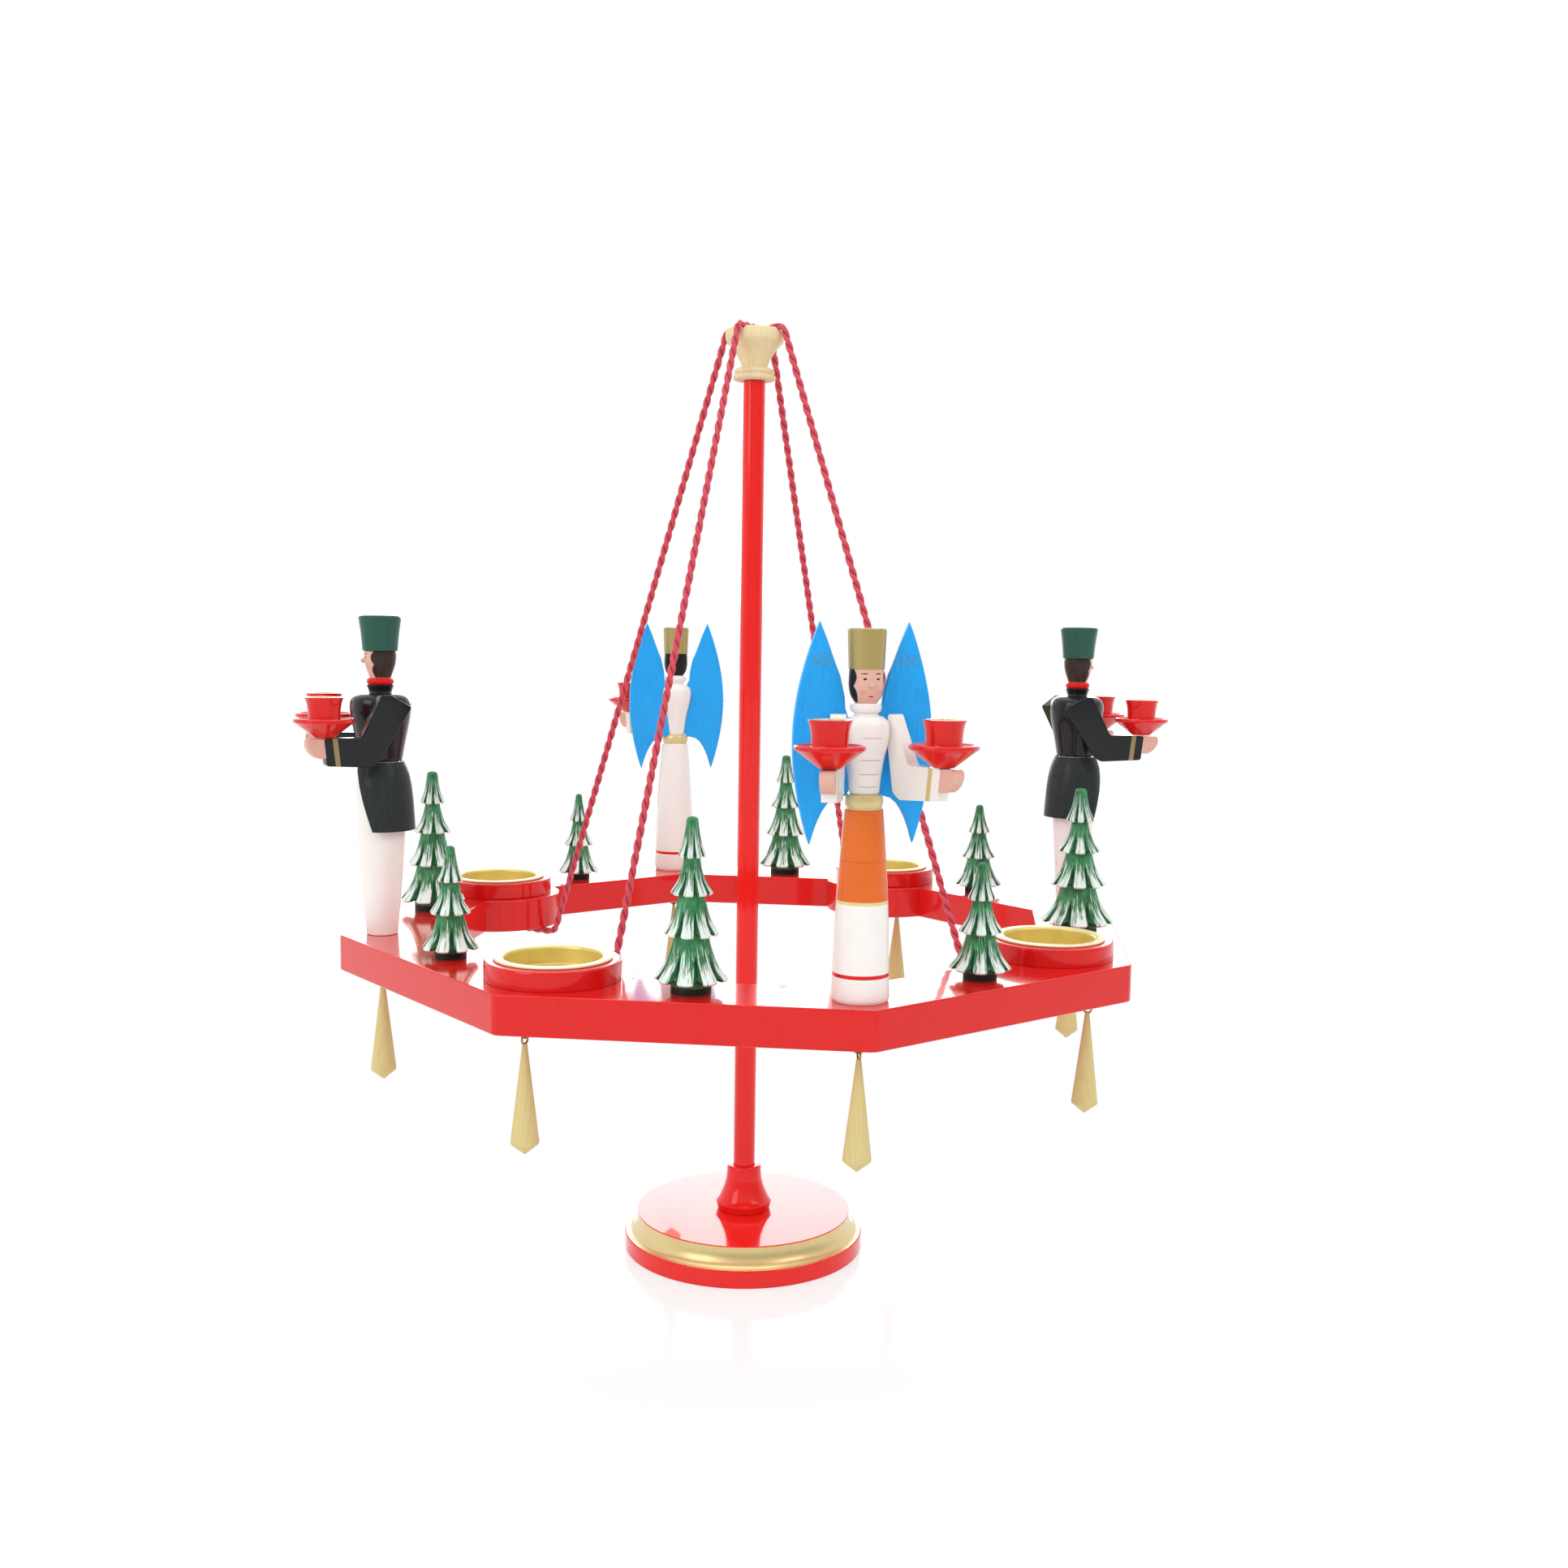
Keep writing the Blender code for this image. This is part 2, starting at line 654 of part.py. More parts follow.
def build_tealights(paints):
    """Four holder discs and the brass cups that lift out of them."""
    bore = CUP_OUTER_RADIUS + SEAT_GAP
    holder_profile = [
        (bore, 0),
        (HOLDER_RADIUS, 0),
        (HOLDER_RADIUS, HOLDER_HEIGHT - HOLDER_CHAMFER),
        (HOLDER_RADIUS - HOLDER_CHAMFER, HOLDER_HEIGHT),
        (bore, HOLDER_HEIGHT),
    ]
    holder = turned("tealight_holder", holder_profile, TEALIGHT_SEGMENTS, closed=True)
    rim_base = HOLDER_HEIGHT + SEAT_GAP
    rim_top = rim_base + CUP_RIM_THICKNESS
    floor = SEAT_GAP + CUP_WALL
    cup_profile = [
        (0, SEAT_GAP),
        (CUP_OUTER_RADIUS, SEAT_GAP),
        (CUP_OUTER_RADIUS, rim_base),
        (CUP_RIM_RADIUS, rim_base),
        (CUP_RIM_RADIUS, rim_top),
        (CUP_INNER_RADIUS + CUP_WALL, rim_top - SEAT_GAP),
        (CUP_INNER_RADIUS, rim_top - CUP_RIM_THICKNESS),
        (CUP_INNER_RADIUS, floor),
        (0, floor),
    ]
    cup = turned("tealight_cup", cup_profile, TEALIGHT_SEGMENTS)
    for corner in range(1, RING_SIDES, 2):
        place = station(2 * HALF_SIDE_ANGLE * corner, TEALIGHT_STATION, RING_TOP_LEVEL + SEAT_GAP)
        add_piece("tealight_holder_" + CORNER_NAMES[corner], holder, [paints["red"]], place)
        add_piece("tealight_cup_" + CORNER_NAMES[corner], cup, [paints["brass"]], place)


def rounded_route(corners):
    """Follow straight runs between corners, each a (point, bend radius), with an arc at each corner."""
    path = [corners[0][0]]
    for index in range(1, len(corners) - 1):
        corner, bend = corners[index]
        arrive = (corner - corners[index - 1][0]).normalized()
        leave = (corners[index + 1][0] - corner).normalized()
        turn = arrive.angle(leave)
        start = corner - arrive * bend * math.tan(turn / 2)
        inward = (leave - arrive * arrive.dot(leave)).normalized()
        centre = start + inward * bend
        append_run(path, start)
        steps = math.ceil(turn / CORD_ARC_STEP)
        for i in range(1, steps + 1):
            swing = turn * i / steps
            path.append(centre + (arrive * math.sin(swing) - inward * math.cos(swing)) * bend)
    append_run(path, corners[-1][0])
    return path


def append_run(path, end):
    """Add a straight run to a path in equal steps."""
    start = path[-1]
    count = math.ceil((end - start).length / CORD_STEP)
    path.extend(start.lerp(end, i / count) for i in range(1, count + 1))


def build_cords(paints):
    """Two cords, each one unbroken tube from lobe to lobe over the hub."""
    turn, end = cord_hole_ends()
    half = [
        ((CORD_RIM_REACH, CORD_RIM_LEVEL), CORD_RIM_BEND),
        ((LOBE_TIP_RADIUS - CORD_LOBE_STANDOFF, CORD_UNDER_LEVEL), CORD_LOBE_BEND),
        (turn, CORD_HOLE_BEND),
        (end, 0),
    ]
    dish_corner = ((HUB_RADIUS * CORD_DISH_SHARE, CORD_RIM_LEVEL), CORD_DISH_BEND)
    routes = (
        ("suspension_cord_lower", CORD_RIM_LEVEL - CORD_LOWER_DIP, [dish_corner] + half, math.pi / 4),
        ("suspension_cord_upper", CORD_RIM_LEVEL + CORD_UPPER_RISE, half, -math.pi / 4),
    )
    for name, crossing, half_route, angle in routes:
        flat = [((-reach, level), bend) for (reach, level), bend in reversed(half_route)]
        flat += [((0, crossing), CORD_DISH_BEND)] + half_route
        corners = [(Vector((*polar(reach, angle), level)), bend) for (reach, level), bend in flat]
        points = rounded_route(corners)
        curve = bpy.data.curves.new(name, "CURVE")
        curve.dimensions = "3D"
        curve.bevel_depth = CORD_RADIUS
        curve.bevel_resolution = 2
        curve.use_fill_caps = True
        spline = curve.splines.new("POLY")
        spline.points.add(len(points) - 1)
        for slot, point in zip(spline.points, points):
            slot.co = point.to_4d()
        curve.materials.append(paints["cord"])
        cord = bpy.data.objects.new(name, curve)
        bpy.context.scene.collection.objects.link(cord)
        run = sum((b - a).length for a, b in zip(points, points[1:]))
        print(f"{name}: {run:.4f} m in {len(points)} points")


def build_drops(paints):
    """Eight wooden drops, each hinged at the wire eye that its loop hangs in."""
    top = -LOOP_CENTRE_DROP - LOOP_RADIUS + WIRE_RADIUS
    profile = [
        (0, top - DROP_LENGTH),
        (DROP_RADIUS, top - DROP_LENGTH + DROP_POINT_HEIGHT),
        (DROP_NECK_RADIUS, top),
        (0, top),
    ]
    drop = turned("drop", profile, DROP_SEGMENTS)
    loop = wire_ring("drop_loop", LOOP_RADIUS, (0, 0, -LOOP_CENTRE_DROP), "X")
    drop = combine(drop, [loop], "UNION")
    for corner in range(RING_SIDES):
        place = station(2 * HALF_SIDE_ANGLE * corner, FIGURE_STATION, DROP_PIVOT_LEVEL)
        add_piece("drop_" + CORNER_NAMES[corner], drop, [paints["wood"]], place)


def tree_mesh(name, radius, height, tiers):
    """Stack of carved tiers: the rim of each alternates between twig tips and the gaps between them."""
    count = 2 * TREE_SCALLOPS

    def ring(tip_radius, tip_level, gap_radius, gap_level):
        points = []
        for i in range(count):
            angle = math.tau * i / count
            is_gap = i % 2 == 1
            reach = gap_radius if is_gap else tip_radius
            level = gap_level if is_gap else tip_level
            points.append((reach * math.cos(angle), reach * math.sin(angle), level))
        return points

    rings = [ring(TREE_STUB_RADIUS, 0, TREE_STUB_RADIUS, 0)]
    below = TREE_STUB_RADIUS
    for edge_share, edge_level_share, neck_share, neck_level_share in tiers:
        edge = radius * edge_share
        neck = radius * neck_share
        level = height * edge_level_share
        rise = height * (neck_level_share - edge_level_share)
        undercut = level + TREE_UNDERCUT_SHARE * rise
        lift = level + TREE_GAP_LIFT_SHARE * rise
        rings.append(ring(below, undercut, below, undercut))
        rings.append(ring(edge, level, edge * TREE_GAP_RADIUS_SHARE, lift))
        middle = neck + (edge - neck) * TREE_MID_RADIUS_SHARE
        middle_level = level + rise * TREE_MID_HEIGHT_SHARE
        rings.append(ring(middle, middle_level, middle * (1 + TREE_GAP_RADIUS_SHARE) / 2, middle_level))
        below = neck
    rings.append(ring(below, height, below, height))
    return lofted(name, rings)


def build_trees(paints):
    """Eight fir trees on the middles of the sides, small and large in turn."""
    meshes = (
        tree_mesh("tree_small", SMALL_TREE_RADIUS, SMALL_TREE_HEIGHT, SMALL_TREE_TIER_SHARES),
        tree_mesh("tree_large", LARGE_TREE_RADIUS, LARGE_TREE_HEIGHT, LARGE_TREE_TIER_SHARES),
    )
    for side in range(RING_SIDES):
        mesh = meshes[side % 2]
        angle = HALF_SIDE_ANGLE * (2 * side + 1)
        place = station(angle, TREE_STATION, RING_TOP_LEVEL + SEAT_GAP)
        add_piece(f"{mesh.name}_{side // 2 + 1}", mesh, [paints["fir"]], place)


def bowl_mesh():
    """Drip dish with a candle cup turned in one."""
    profile = [(0, 0)] + scaled(BOWL_OUTER_SHARES, BOWL_RADIUS, BOWL_HEIGHT)
    bore_floor = BOWL_HEIGHT - CANDLE_BORE_DEPTH
    profile += [(CANDLE_BORE_RADIUS, BOWL_HEIGHT), (CANDLE_BORE_RADIUS, bore_floor), (0, bore_floor)]
    return turned("bowl", profile, BOWL_SEGMENTS)


def arm_outline(shoulder_back):
    """Side outline of a bent arm: shoulder, elbow, cuff and the inside of the elbow."""
    back = [(-shoulder_back * across, ARM_HEIGHT * up) for across, up in SHOULDER_BACK_SHARES]
    return back + [(ARM_REACH * across, ARM_HEIGHT * up) for across, up in ARM_OUTLINE_SHARES]


def arm_tools(side, shoulder_offset, setback, shoulder_back, toe):
    """An arm and its hand, turned outwards at the shoulder, as meshes in the torso's frame."""
    half = ARM_THICKNESS / 2
    arm = upright_board("arm", arm_outline(shoulder_back), -half, half)
    lift = ARM_HEIGHT * FOREARM_TOP_SHARE - HAND_HEIGHT
    outline = [
        (ARM_REACH + HAND_LENGTH * across, lift + HAND_HEIGHT * up) for across, up in HAND_OUTLINE_SHARES
    ]
    hand = upright_board("hand", outline, -HAND_THICKNESS / 2, HAND_THICKNESS / 2)
    for face in hand.polygons:
        face.material_index = 1
    arm_base = TORSO_HEIGHT * ARM_TOP_SHARE - ARM_HEIGHT
    forward = Matrix.Rotation(-math.pi / 2 + side * toe, 4, "Z")
    place = Matrix.Translation((side * shoulder_offset, setback, arm_base)) @ forward
    return [placed_copy(arm, place), placed_copy(hand, place)], place


def figure_parts(torso_radius, torso_shares, arms):
    """A torso with both arms, and the places of the bowls on its hands."""
    profile = [(0, 0)] + scaled(torso_shares, torso_radius, TORSO_HEIGHT) + [(0, TORSO_HEIGHT)]
    torso = turned("torso", profile, FIGURE_SEGMENTS)
    torso.materials.clear()
    bowl_places = []
    for side in (1, -1):
        tools, place = arm_tools(side, *arms)
        torso = combine(torso, tools, "UNION")
        seat = Matrix.Translation(
            (ARM_REACH * ARM_BOWL_REACH_SHARE, 0, ARM_HEIGHT * FOREARM_TOP_SHARE + SEAT_GAP)
        )
        bowl_places.append(place @ seat)
    return torso, bowl_places


def nose_mesh(head_radius, head_height):
    """A small peg on the front of a head."""
    profile = [(0, 0), (NOSE_RADIUS, 0), (NOSE_RADIUS, NOSE_LENGTH), (0, NOSE_LENGTH + NOSE_RADIUS / 2)]
    nose = turned("nose", profile, WIRE_SEGMENTS + 1)
    depth = -head_radius + NOSE_LENGTH
    place = Matrix.Translation((0, depth, head_height * NOSE_HEIGHT_SHARE))
    return placed_copy(nose, place @ Matrix.Rotation(math.pi / 2, 4, "X"))


def add_figure(name, pieces, place):
    """Place the pieces of one figure; each is (suffix, mesh, materials, local placement)."""
    for suffix, mesh, materials, local in pieces:
        add_piece(f"{name}_{suffix}", mesh, materials, place @ local)


def coat_mesh(trouser_profile):
    """Coat tail: a shell round the trousers, open at the front and slanting away to the hem."""
    rings = []
    for level_share, radius_share, opening in COAT_SHARES:
        level = WAIST_HEIGHT * level_share
        inner = profile_radius(trouser_profile, level) + COAT_LINING_GAP
        outer = COAT_RADIUS * radius_share
        start = math.radians(opening)
        sweep = math.tau - 2 * start
        angles = [start + sweep * i / COAT_STEPS for i in range(COAT_STEPS + 1)]
        ring = [(*polar(outer, angle), level) for angle in angles]
        ring += [(*polar(inner, angle), level) for angle in reversed(angles)]
        rings.append(ring)
    return lofted("coat_tail", rings)


def profile_radius(profile, level):
    """Radius of a turned profile at a height, along its straight pieces."""
    for (r0, z0), (r1, z1) in zip(profile, profile[1:]):
        if z0 <= level <= z1 and z1 > z0:
            return r0 + (r1 - r0) * (level - z0) / (z1 - z0)
    return profile[-1][0]


def build_miners(paints):
    """Two miners, facing outwards at the left and the right corner."""
    trouser_profile = scaled(TROUSER_PROFILE_SHARES, TROUSER_RADIUS, WAIST_HEIGHT)
    trousers = turned("trousers", [(0, 0)] + trouser_profile + [(0, WAIST_HEIGHT)], FIGURE_SEGMENTS)
    coat = coat_mesh(trouser_profile)
    arms = (MINER_SHOULDER_OFFSET, MINER_SHOULDER_SETBACK, MINER_SHOULDER_BACK, MINER_ARM_TOE)
    torso, bowl_places = figure_parts(MINER_TORSO_RADIUS, MINER_TORSO_SHARES, arms)
    head_profile = scaled(MINER_HEAD_SHARES, MINER_HEAD_RADIUS, MINER_HEAD_HEIGHT)
    head = turned("head", [(0, 0)] + head_profile + [(0, MINER_HEAD_HEIGHT)], FIGURE_SEGMENTS)
    head = combine(head, [nose_mesh(MINER_HEAD_RADIUS, MINER_HEAD_HEIGHT)], "UNION")
    collar_top = MINER_HEAD_HEIGHT * MINER_COLLAR_SHARE
    hair_line = -MINER_HEAD_RADIUS * HAIR_LINE_SHARE
    paint_faces(head, 1, lambda c: c.z < collar_top)
    paint_faces(head, 2, lambda c: c.z > collar_top and c.y > hair_line)
    hat_profile = [(0, 0)] + scaled(HAT_SHARES, HAT_RADIUS, HAT_HEIGHT) + [(0, HAT_HEIGHT)]
    hat = turned("hat", hat_profile, FIGURE_SEGMENTS)
    torso_level = WAIST_HEIGHT + SEAT_GAP
    head_level = torso_level + TORSO_HEIGHT + SEAT_GAP
    hat_level = head_level + MINER_HEAD_HEIGHT + SEAT_GAP
    raised = Matrix.Translation((0, 0, torso_level))
    head_place = Matrix.Translation((0, 0, head_level))
    bowl = bowl_mesh()
    pieces = [
        ("trousers", trousers, [paints["white"]], Matrix()),
        ("coat_tail", coat, [paints["black"]], Matrix()),
        ("torso", torso, [paints["black"], paints["skin"]], raised),
        ("head", head, [paints["skin"], paints["red"], paints["hair"]], head_place),
        ("hat", hat, [paints["hat"]], Matrix.Translation((0, 0, hat_level))),
        ("bowl_left", bowl, [paints["red"]], raised @ bowl_places[0]),
        ("bowl_right", bowl, [paints["red"]], raised @ bowl_places[1]),
    ]
    for name, angle in (("miner_right", math.pi / 2), ("miner_left", -math.pi / 2)):
        add_figure(name, pieces, station(angle, FIGURE_STATION, RING_TOP_LEVEL + SEAT_GAP))


def wing_outline(waist, shoulder):
    """One wing in (x, z): a bowed outer edge from tail to tip and an inner edge cut to the body."""
    tail = waist - WING_TAIL_DROP
    tip = shoulder + WING_TIP_RISE
    top_span = WING_SPAN * WING_TOP_SPAN_SHARE
    low_span = WING_SPAN * WING_LOW_SPAN_SHARE
    points = []
    for i in range(WING_OUTER_STEPS + 1):
        t = i / WING_OUTER_STEPS
        bow = WING_SPAN * WING_BULGE_SHARE * math.sin(math.pi * t) ** WING_BOW_POWER
        points.append((low_span + (top_span - low_span) * t + bow, tail + (tip - tail) * t))
    for across, up in WING_UPPER_EDGE_SHARES:
        points.append((WING_SPAN * across, shoulder + WING_TIP_RISE * up))
    root = WING_SPAN * WING_ROOT_SHARE
    points += [(root, shoulder), (root, waist)]
    for across, down in WING_LOWER_EDGE_SHARES:
        points.append((WING_SPAN * across, waist - WING_TAIL_DROP * down))
    return points


def angel_body_tool(gown_profile, torso_level, head_level):
    """The turned body of an angel, one gap larger all round, that the wings are cut to."""
    torso = scaled(ANGEL_TORSO_SHARES, ANGEL_TORSO_RADIUS, TORSO_HEIGHT)
    head = scaled(ANGEL_HEAD_SHARES, ANGEL_HEAD_RADIUS, ANGEL_HEAD_HEIGHT)
    profile = [(r + SEAT_GAP, z) for r, z in gown_profile]
    profile += [(r + SEAT_GAP, z + torso_level) for r, z in torso]
    profile += [(r + SEAT_GAP, z + head_level) for r, z in head]
    return turned("body_tool", [(0, 0)] + profile + [(0, profile[-1][1])], FIGURE_SEGMENTS)


def angel_head_mesh():
    """Head turned in one with its crown, with a peg for a nose."""
    profile = scaled(ANGEL_HEAD_SHARES, ANGEL_HEAD_RADIUS, ANGEL_HEAD_HEIGHT)
    crown = scaled(CROWN_SHARES, ANGEL_HEAD_RADIUS, CROWN_HEIGHT)
    profile += [(radius, height + ANGEL_HEAD_HEIGHT) for radius, height in crown[1:]]
    top = ANGEL_HEAD_HEIGHT + CROWN_HEIGHT
    head = turned("head", [(0, 0)] + profile + [(0, top)], FIGURE_SEGMENTS)
    head = combine(head, [nose_mesh(ANGEL_HEAD_RADIUS, ANGEL_HEAD_HEIGHT)], "UNION")
    hair_line = -ANGEL_HEAD_RADIUS * HAIR_LINE_SHARE
    paint_faces(head, 1, lambda c: c.z > ANGEL_HEAD_HEIGHT)
    paint_faces(head, 2, lambda c: c.z < ANGEL_HEAD_HEIGHT and c.y > hair_line)
    return head


def build_angels(paints):
    """Two angels, facing outwards at the front and the back corner."""
    gown_profile = scaled(GOWN_SHARES, GOWN_RADIUS, WAIST_HEIGHT)
    gown = turned("gown", [(0, 0)] + gown_profile + [(0, WAIST_HEIGHT)], FIGURE_SEGMENTS)
    line_low, line_high = (WAIST_HEIGHT * share for share in RED_LINE_SHARES)
    apron_low, apron_high = (WAIST_HEIGHT * share for share in APRON_HEIGHT_SHARES)
    belt_core = gown_profile[-1][0] / 2
    paint_faces(gown, 1, lambda c: line_low < c.z < line_high)
    paint_faces(gown, 2, lambda c: c.z > apron_high and math.hypot(c.x, c.y) > belt_core)
    paint_faces(
        gown,
        3,
        lambda c: apron_low < c.z < apron_high and abs(math.atan2(c.x, -c.y)) < APRON_HALF_ANGLE,
    )
    arms = (ANGEL_SHOULDER_OFFSET, ANGEL_SHOULDER_SETBACK, ANGEL_SHOULDER_BACK, ANGEL_ARM_TOE)
    torso, bowl_places = figure_parts(ANGEL_TORSO_RADIUS, ANGEL_TORSO_SHARES, arms)
    torso_level = WAIST_HEIGHT + SEAT_GAP
    head_level = torso_level + TORSO_HEIGHT + SEAT_GAP
    outline = wing_outline(WAIST_HEIGHT, torso_level + TORSO_HEIGHT * ARM_TOP_SHARE)
    body_tool = angel_body_tool(gown_profile, torso_level, head_level)
    wings = []
    for side in (1, -1):
        mirrored = [(side * across, level) for across, level in outline]
        wing = upright_board("wing", mirrored, WING_BACK_SET, WING_BACK_SET + WING_THICKNESS)
        wings.append(combine(wing, [body_tool.copy()], "DIFFERENCE"))
    raised = Matrix.Translation((0, 0, torso_level))
    head_place = Matrix.Translation((0, 0, head_level))
    bowl = bowl_mesh()
    pieces = [
        ("gown", gown, [paints["white"], paints["red"], paints["gilt"], paints["orange"]], Matrix()),
        ("torso", torso, [paints["white"], paints["skin"]], raised),
        ("head", angel_head_mesh(), [paints["skin"], paints["gilt"], paints["hair"]], head_place),
        ("wing_left", wings[0], [paints["blue"]], Matrix()),
        ("wing_right", wings[1], [paints["blue"]], Matrix()),
        ("bowl_left", bowl, [paints["red"]], raised @ bowl_places[0]),
        ("bowl_right", bowl, [paints["red"]], raised @ bowl_places[1]),
    ]
    for name, angle in (("angel_front", 0.0), ("angel_back", math.pi)):
        add_figure(name, pieces, station(angle, FIGURE_STATION, RING_TOP_LEVEL + SEAT_GAP))


def build():
    clear_scene()
    paints = {
        "red": paint("red_lacquer", (220, 48, 42), 0.18),
        "gilt": paint("gold_paint", (200, 178, 105), 0.32, GILT_METAL_SHARE),
        "brass": paint("brass", (214, 188, 95), 0.25, 1.0),
        "wood": paint("bare_lime_wood", (226, 204, 150), 0.55),
        "white": paint("white_lacquer", (236, 232, 226), 0.30),
        "black": paint("black_lacquer", (38, 42, 44), 0.28),
        "skin": paint("skin_paint", (224, 184, 170), 0.45),
        "hair": paint("hair_paint", (62, 50, 45), 0.45),
        "hat": paint("green_lacquer", (52, 98, 84), 0.35),
        "blue": paint("blue_lacquer", (45, 150, 238), 0.35),
        "orange": paint("orange_lacquer", (228, 122, 58), 0.35),
        "fir": paint("fir_green", (38, 120, 70), 0.50),
        "cord": paint("crimson_cord", (200, 45, 70), 0.60),
    }
    build_stand(paints)
    build_hub(paints)
    build_ring(paints)
    build_tealights(paints)
    build_cords(paints)
    build_drops(paints)
    build_trees(paints)
    build_miners(paints)
    build_angels(paints)


build()
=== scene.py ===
import math

import bmesh
import bpy
import numpy as np
from mathutils import Matrix, Vector


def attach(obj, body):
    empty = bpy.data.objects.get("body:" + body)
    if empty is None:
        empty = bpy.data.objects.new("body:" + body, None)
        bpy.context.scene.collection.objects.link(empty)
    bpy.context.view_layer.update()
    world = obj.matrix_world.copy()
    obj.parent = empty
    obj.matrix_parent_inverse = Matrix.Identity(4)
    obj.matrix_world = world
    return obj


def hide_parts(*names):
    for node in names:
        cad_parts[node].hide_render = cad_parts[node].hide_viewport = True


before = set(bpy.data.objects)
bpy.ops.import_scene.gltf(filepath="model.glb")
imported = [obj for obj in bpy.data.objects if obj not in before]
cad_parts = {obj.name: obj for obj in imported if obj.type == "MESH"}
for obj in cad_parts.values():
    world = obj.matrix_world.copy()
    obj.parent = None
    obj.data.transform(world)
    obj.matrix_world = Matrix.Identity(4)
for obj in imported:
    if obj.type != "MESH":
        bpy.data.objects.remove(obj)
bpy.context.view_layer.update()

# Camera: it stands in front and a little to the left of the front angel, at the height of the figures,
# and looks slightly down on the ring.
CAMERA_PLACE = (-0.2025, -0.7742, 0.3144)
CAMERA_TURN = -15.92
CAMERA_TILT = 84.583
CAMERA_ROLL = 0.874
camera_data = bpy.data.cameras.new("camera")
camera_data.sensor_width = 36.0
camera_data.lens = 36.565
camera_data.clip_start = 0.02
camera_data.clip_end = 60.0
camera = bpy.data.objects.new("camera", camera_data)
bpy.context.scene.collection.objects.link(camera)
camera.matrix_world = (
    Matrix.Translation(CAMERA_PLACE)
    @ Matrix.Rotation(math.radians(CAMERA_TURN), 4, "Z")
    @ Matrix.Rotation(math.radians(CAMERA_TILT), 4, "X")
    @ Matrix.Rotation(math.radians(CAMERA_ROLL), 4, "Z")
)
bpy.context.scene.camera = camera

# Cords: two lengths of crimson two-ply cord, laid left-handed. Each one runs from a hole under one lobe
# of the ring up to a notch in the hub, crosses the hub's dish and goes down to the opposite lobe.
CORD_PLY_RADIUS = 0.00115
CORD_PLY_OFFSET = 0.00068
CORD_PITCH = 0.0128
CORD_POINT_STEP = 0.0008
CORD_UNDER = 0.1499
CORD_RIM = 0.4629
CORD_DISH_REACH = 0.0090
CORD_RIM_REACH = 0.0160
CORD_LOBE_REACH = 0.1219
CORD_HOLE_REACH = 0.1403
CORD_HOLE_LENGTH = 0.0100
# Painted highlight: the light colour of the fibre stripes, which also stand for the cord's own fibres.
CORD_FIBRE_HIGHLIGHT = (246, 100, 118)
CORD_DARK = (198, 34, 56)
# Painted shade: the colour of the groove where the two plies meet.
CORD_CREASE_SHADE = (122, 14, 34)


class Tone:
    """One value on its way to a finish, so that sums of values read as sums."""

    def __init__(self, socket):
        self.socket = socket

    def node(self, kind, settings=None, values=None, output=0):
        """Add a node to the same material: its settings first, then the values or links of its sockets."""
        tree = self.socket.id_data
        made = tree.nodes.new(kind)
        for key, value in (settings or {}).items():
            setattr(made, key, value)
        for key, value in (values or {}).items():
            if isinstance(value, Tone):
                tree.links.new(value.socket, made.inputs[key])
            else:
                made.inputs[key].default_value = value
        return Tone(made.outputs[output])

    def maths(self, operation, first, second):
        return self.node("ShaderNodeMath", {"operation": operation}, {0: first, 1: second})

    def __add__(self, other):
        return self.maths("ADD", self, other)

    def __radd__(self, other):
        return self.maths("ADD", other, self)

    def __sub__(self, other):
        return self.maths("SUBTRACT", self, other)

    def __rsub__(self, other):
        return self.maths("SUBTRACT", other, self)

    def __mul__(self, other):
        return self.maths("MULTIPLY", self, other)

    def __rmul__(self, other):
        return self.maths("MULTIPLY", other, self)

    def __truediv__(self, other):
        return self.maths("DIVIDE", self, other)

    def apply(self, operation, other=0.0):
        """A function of this value, such as its sine, or of this value and another one."""
        return self.maths(operation, self, other)

    def part(self, axis):
        """One coordinate of a vector."""
        return self.node("ShaderNodeSeparateXYZ", None, {0: self}, output=axis)

    def noise(self, scale, detail):
        """Cloudy values between 0 and 1, with this vector as their place."""
        return self.node("ShaderNodeTexNoise", None, {"Vector": self, "Scale": scale, "Detail": detail})

    def rises(self, low, high):
        """0 below low, 1 above high and a soft step between."""
        settings = {"interpolation_type": "SMOOTHSTEP"}
        return self.node("ShaderNodeMapRange", settings, {"Value": self, "From Min": low, "From Max": high})

    def within(self, low, high, soft):
        """1 between low and high, falling to 0 over the soft distance on both sides."""
        return self.rises(low - soft, low + soft) * (1 - self.rises(high - soft, high + soft))


def start_finish(name):
    """A new material with its shader and a first tone on it to add nodes from."""
    material = bpy.data.materials.new(name)
    material.use_nodes = True
    shader = material.node_tree.nodes["Principled BSDF"]
    coordinates = material.node_tree.nodes.new("ShaderNodeTexCoord")
    return material, shader, Tone(coordinates.outputs["Object"])


def linear(colour):
    """A colour written as on the photo, in 0 to 255, as the shader needs it."""
    return (*[((c / 255 + 0.055) / 1.055) ** 2.4 if c > 10 else c / 3295 for c in colour], 1.0)


def lay_over(mask, below, above, way="MIX"):
    """Paint one colour over another where the mask is 1."""
    ground = below if isinstance(below, Tone) else linear(below)
    coat = above if isinstance(above, Tone) else linear(above)
    settings = {"data_type": "RGBA", "clamp_factor": True, "blend_type": way}
    return mask.node("ShaderNodeMix", settings, {0: mask, 6: ground, 7: coat}, output=2)


def connect(shader, name, tone):
    tone.socket.id_data.links.new(tone.socket, shader.inputs[name])


def add_relief(shader, height, strength, distance):
    """Feed a height to a finish as fine relief: grain, weave or brush marks."""
    values = {"Strength": strength, "Distance": distance, "Height": height}
    connect(shader, "Normal", height.node("ShaderNodeBump", None, values))


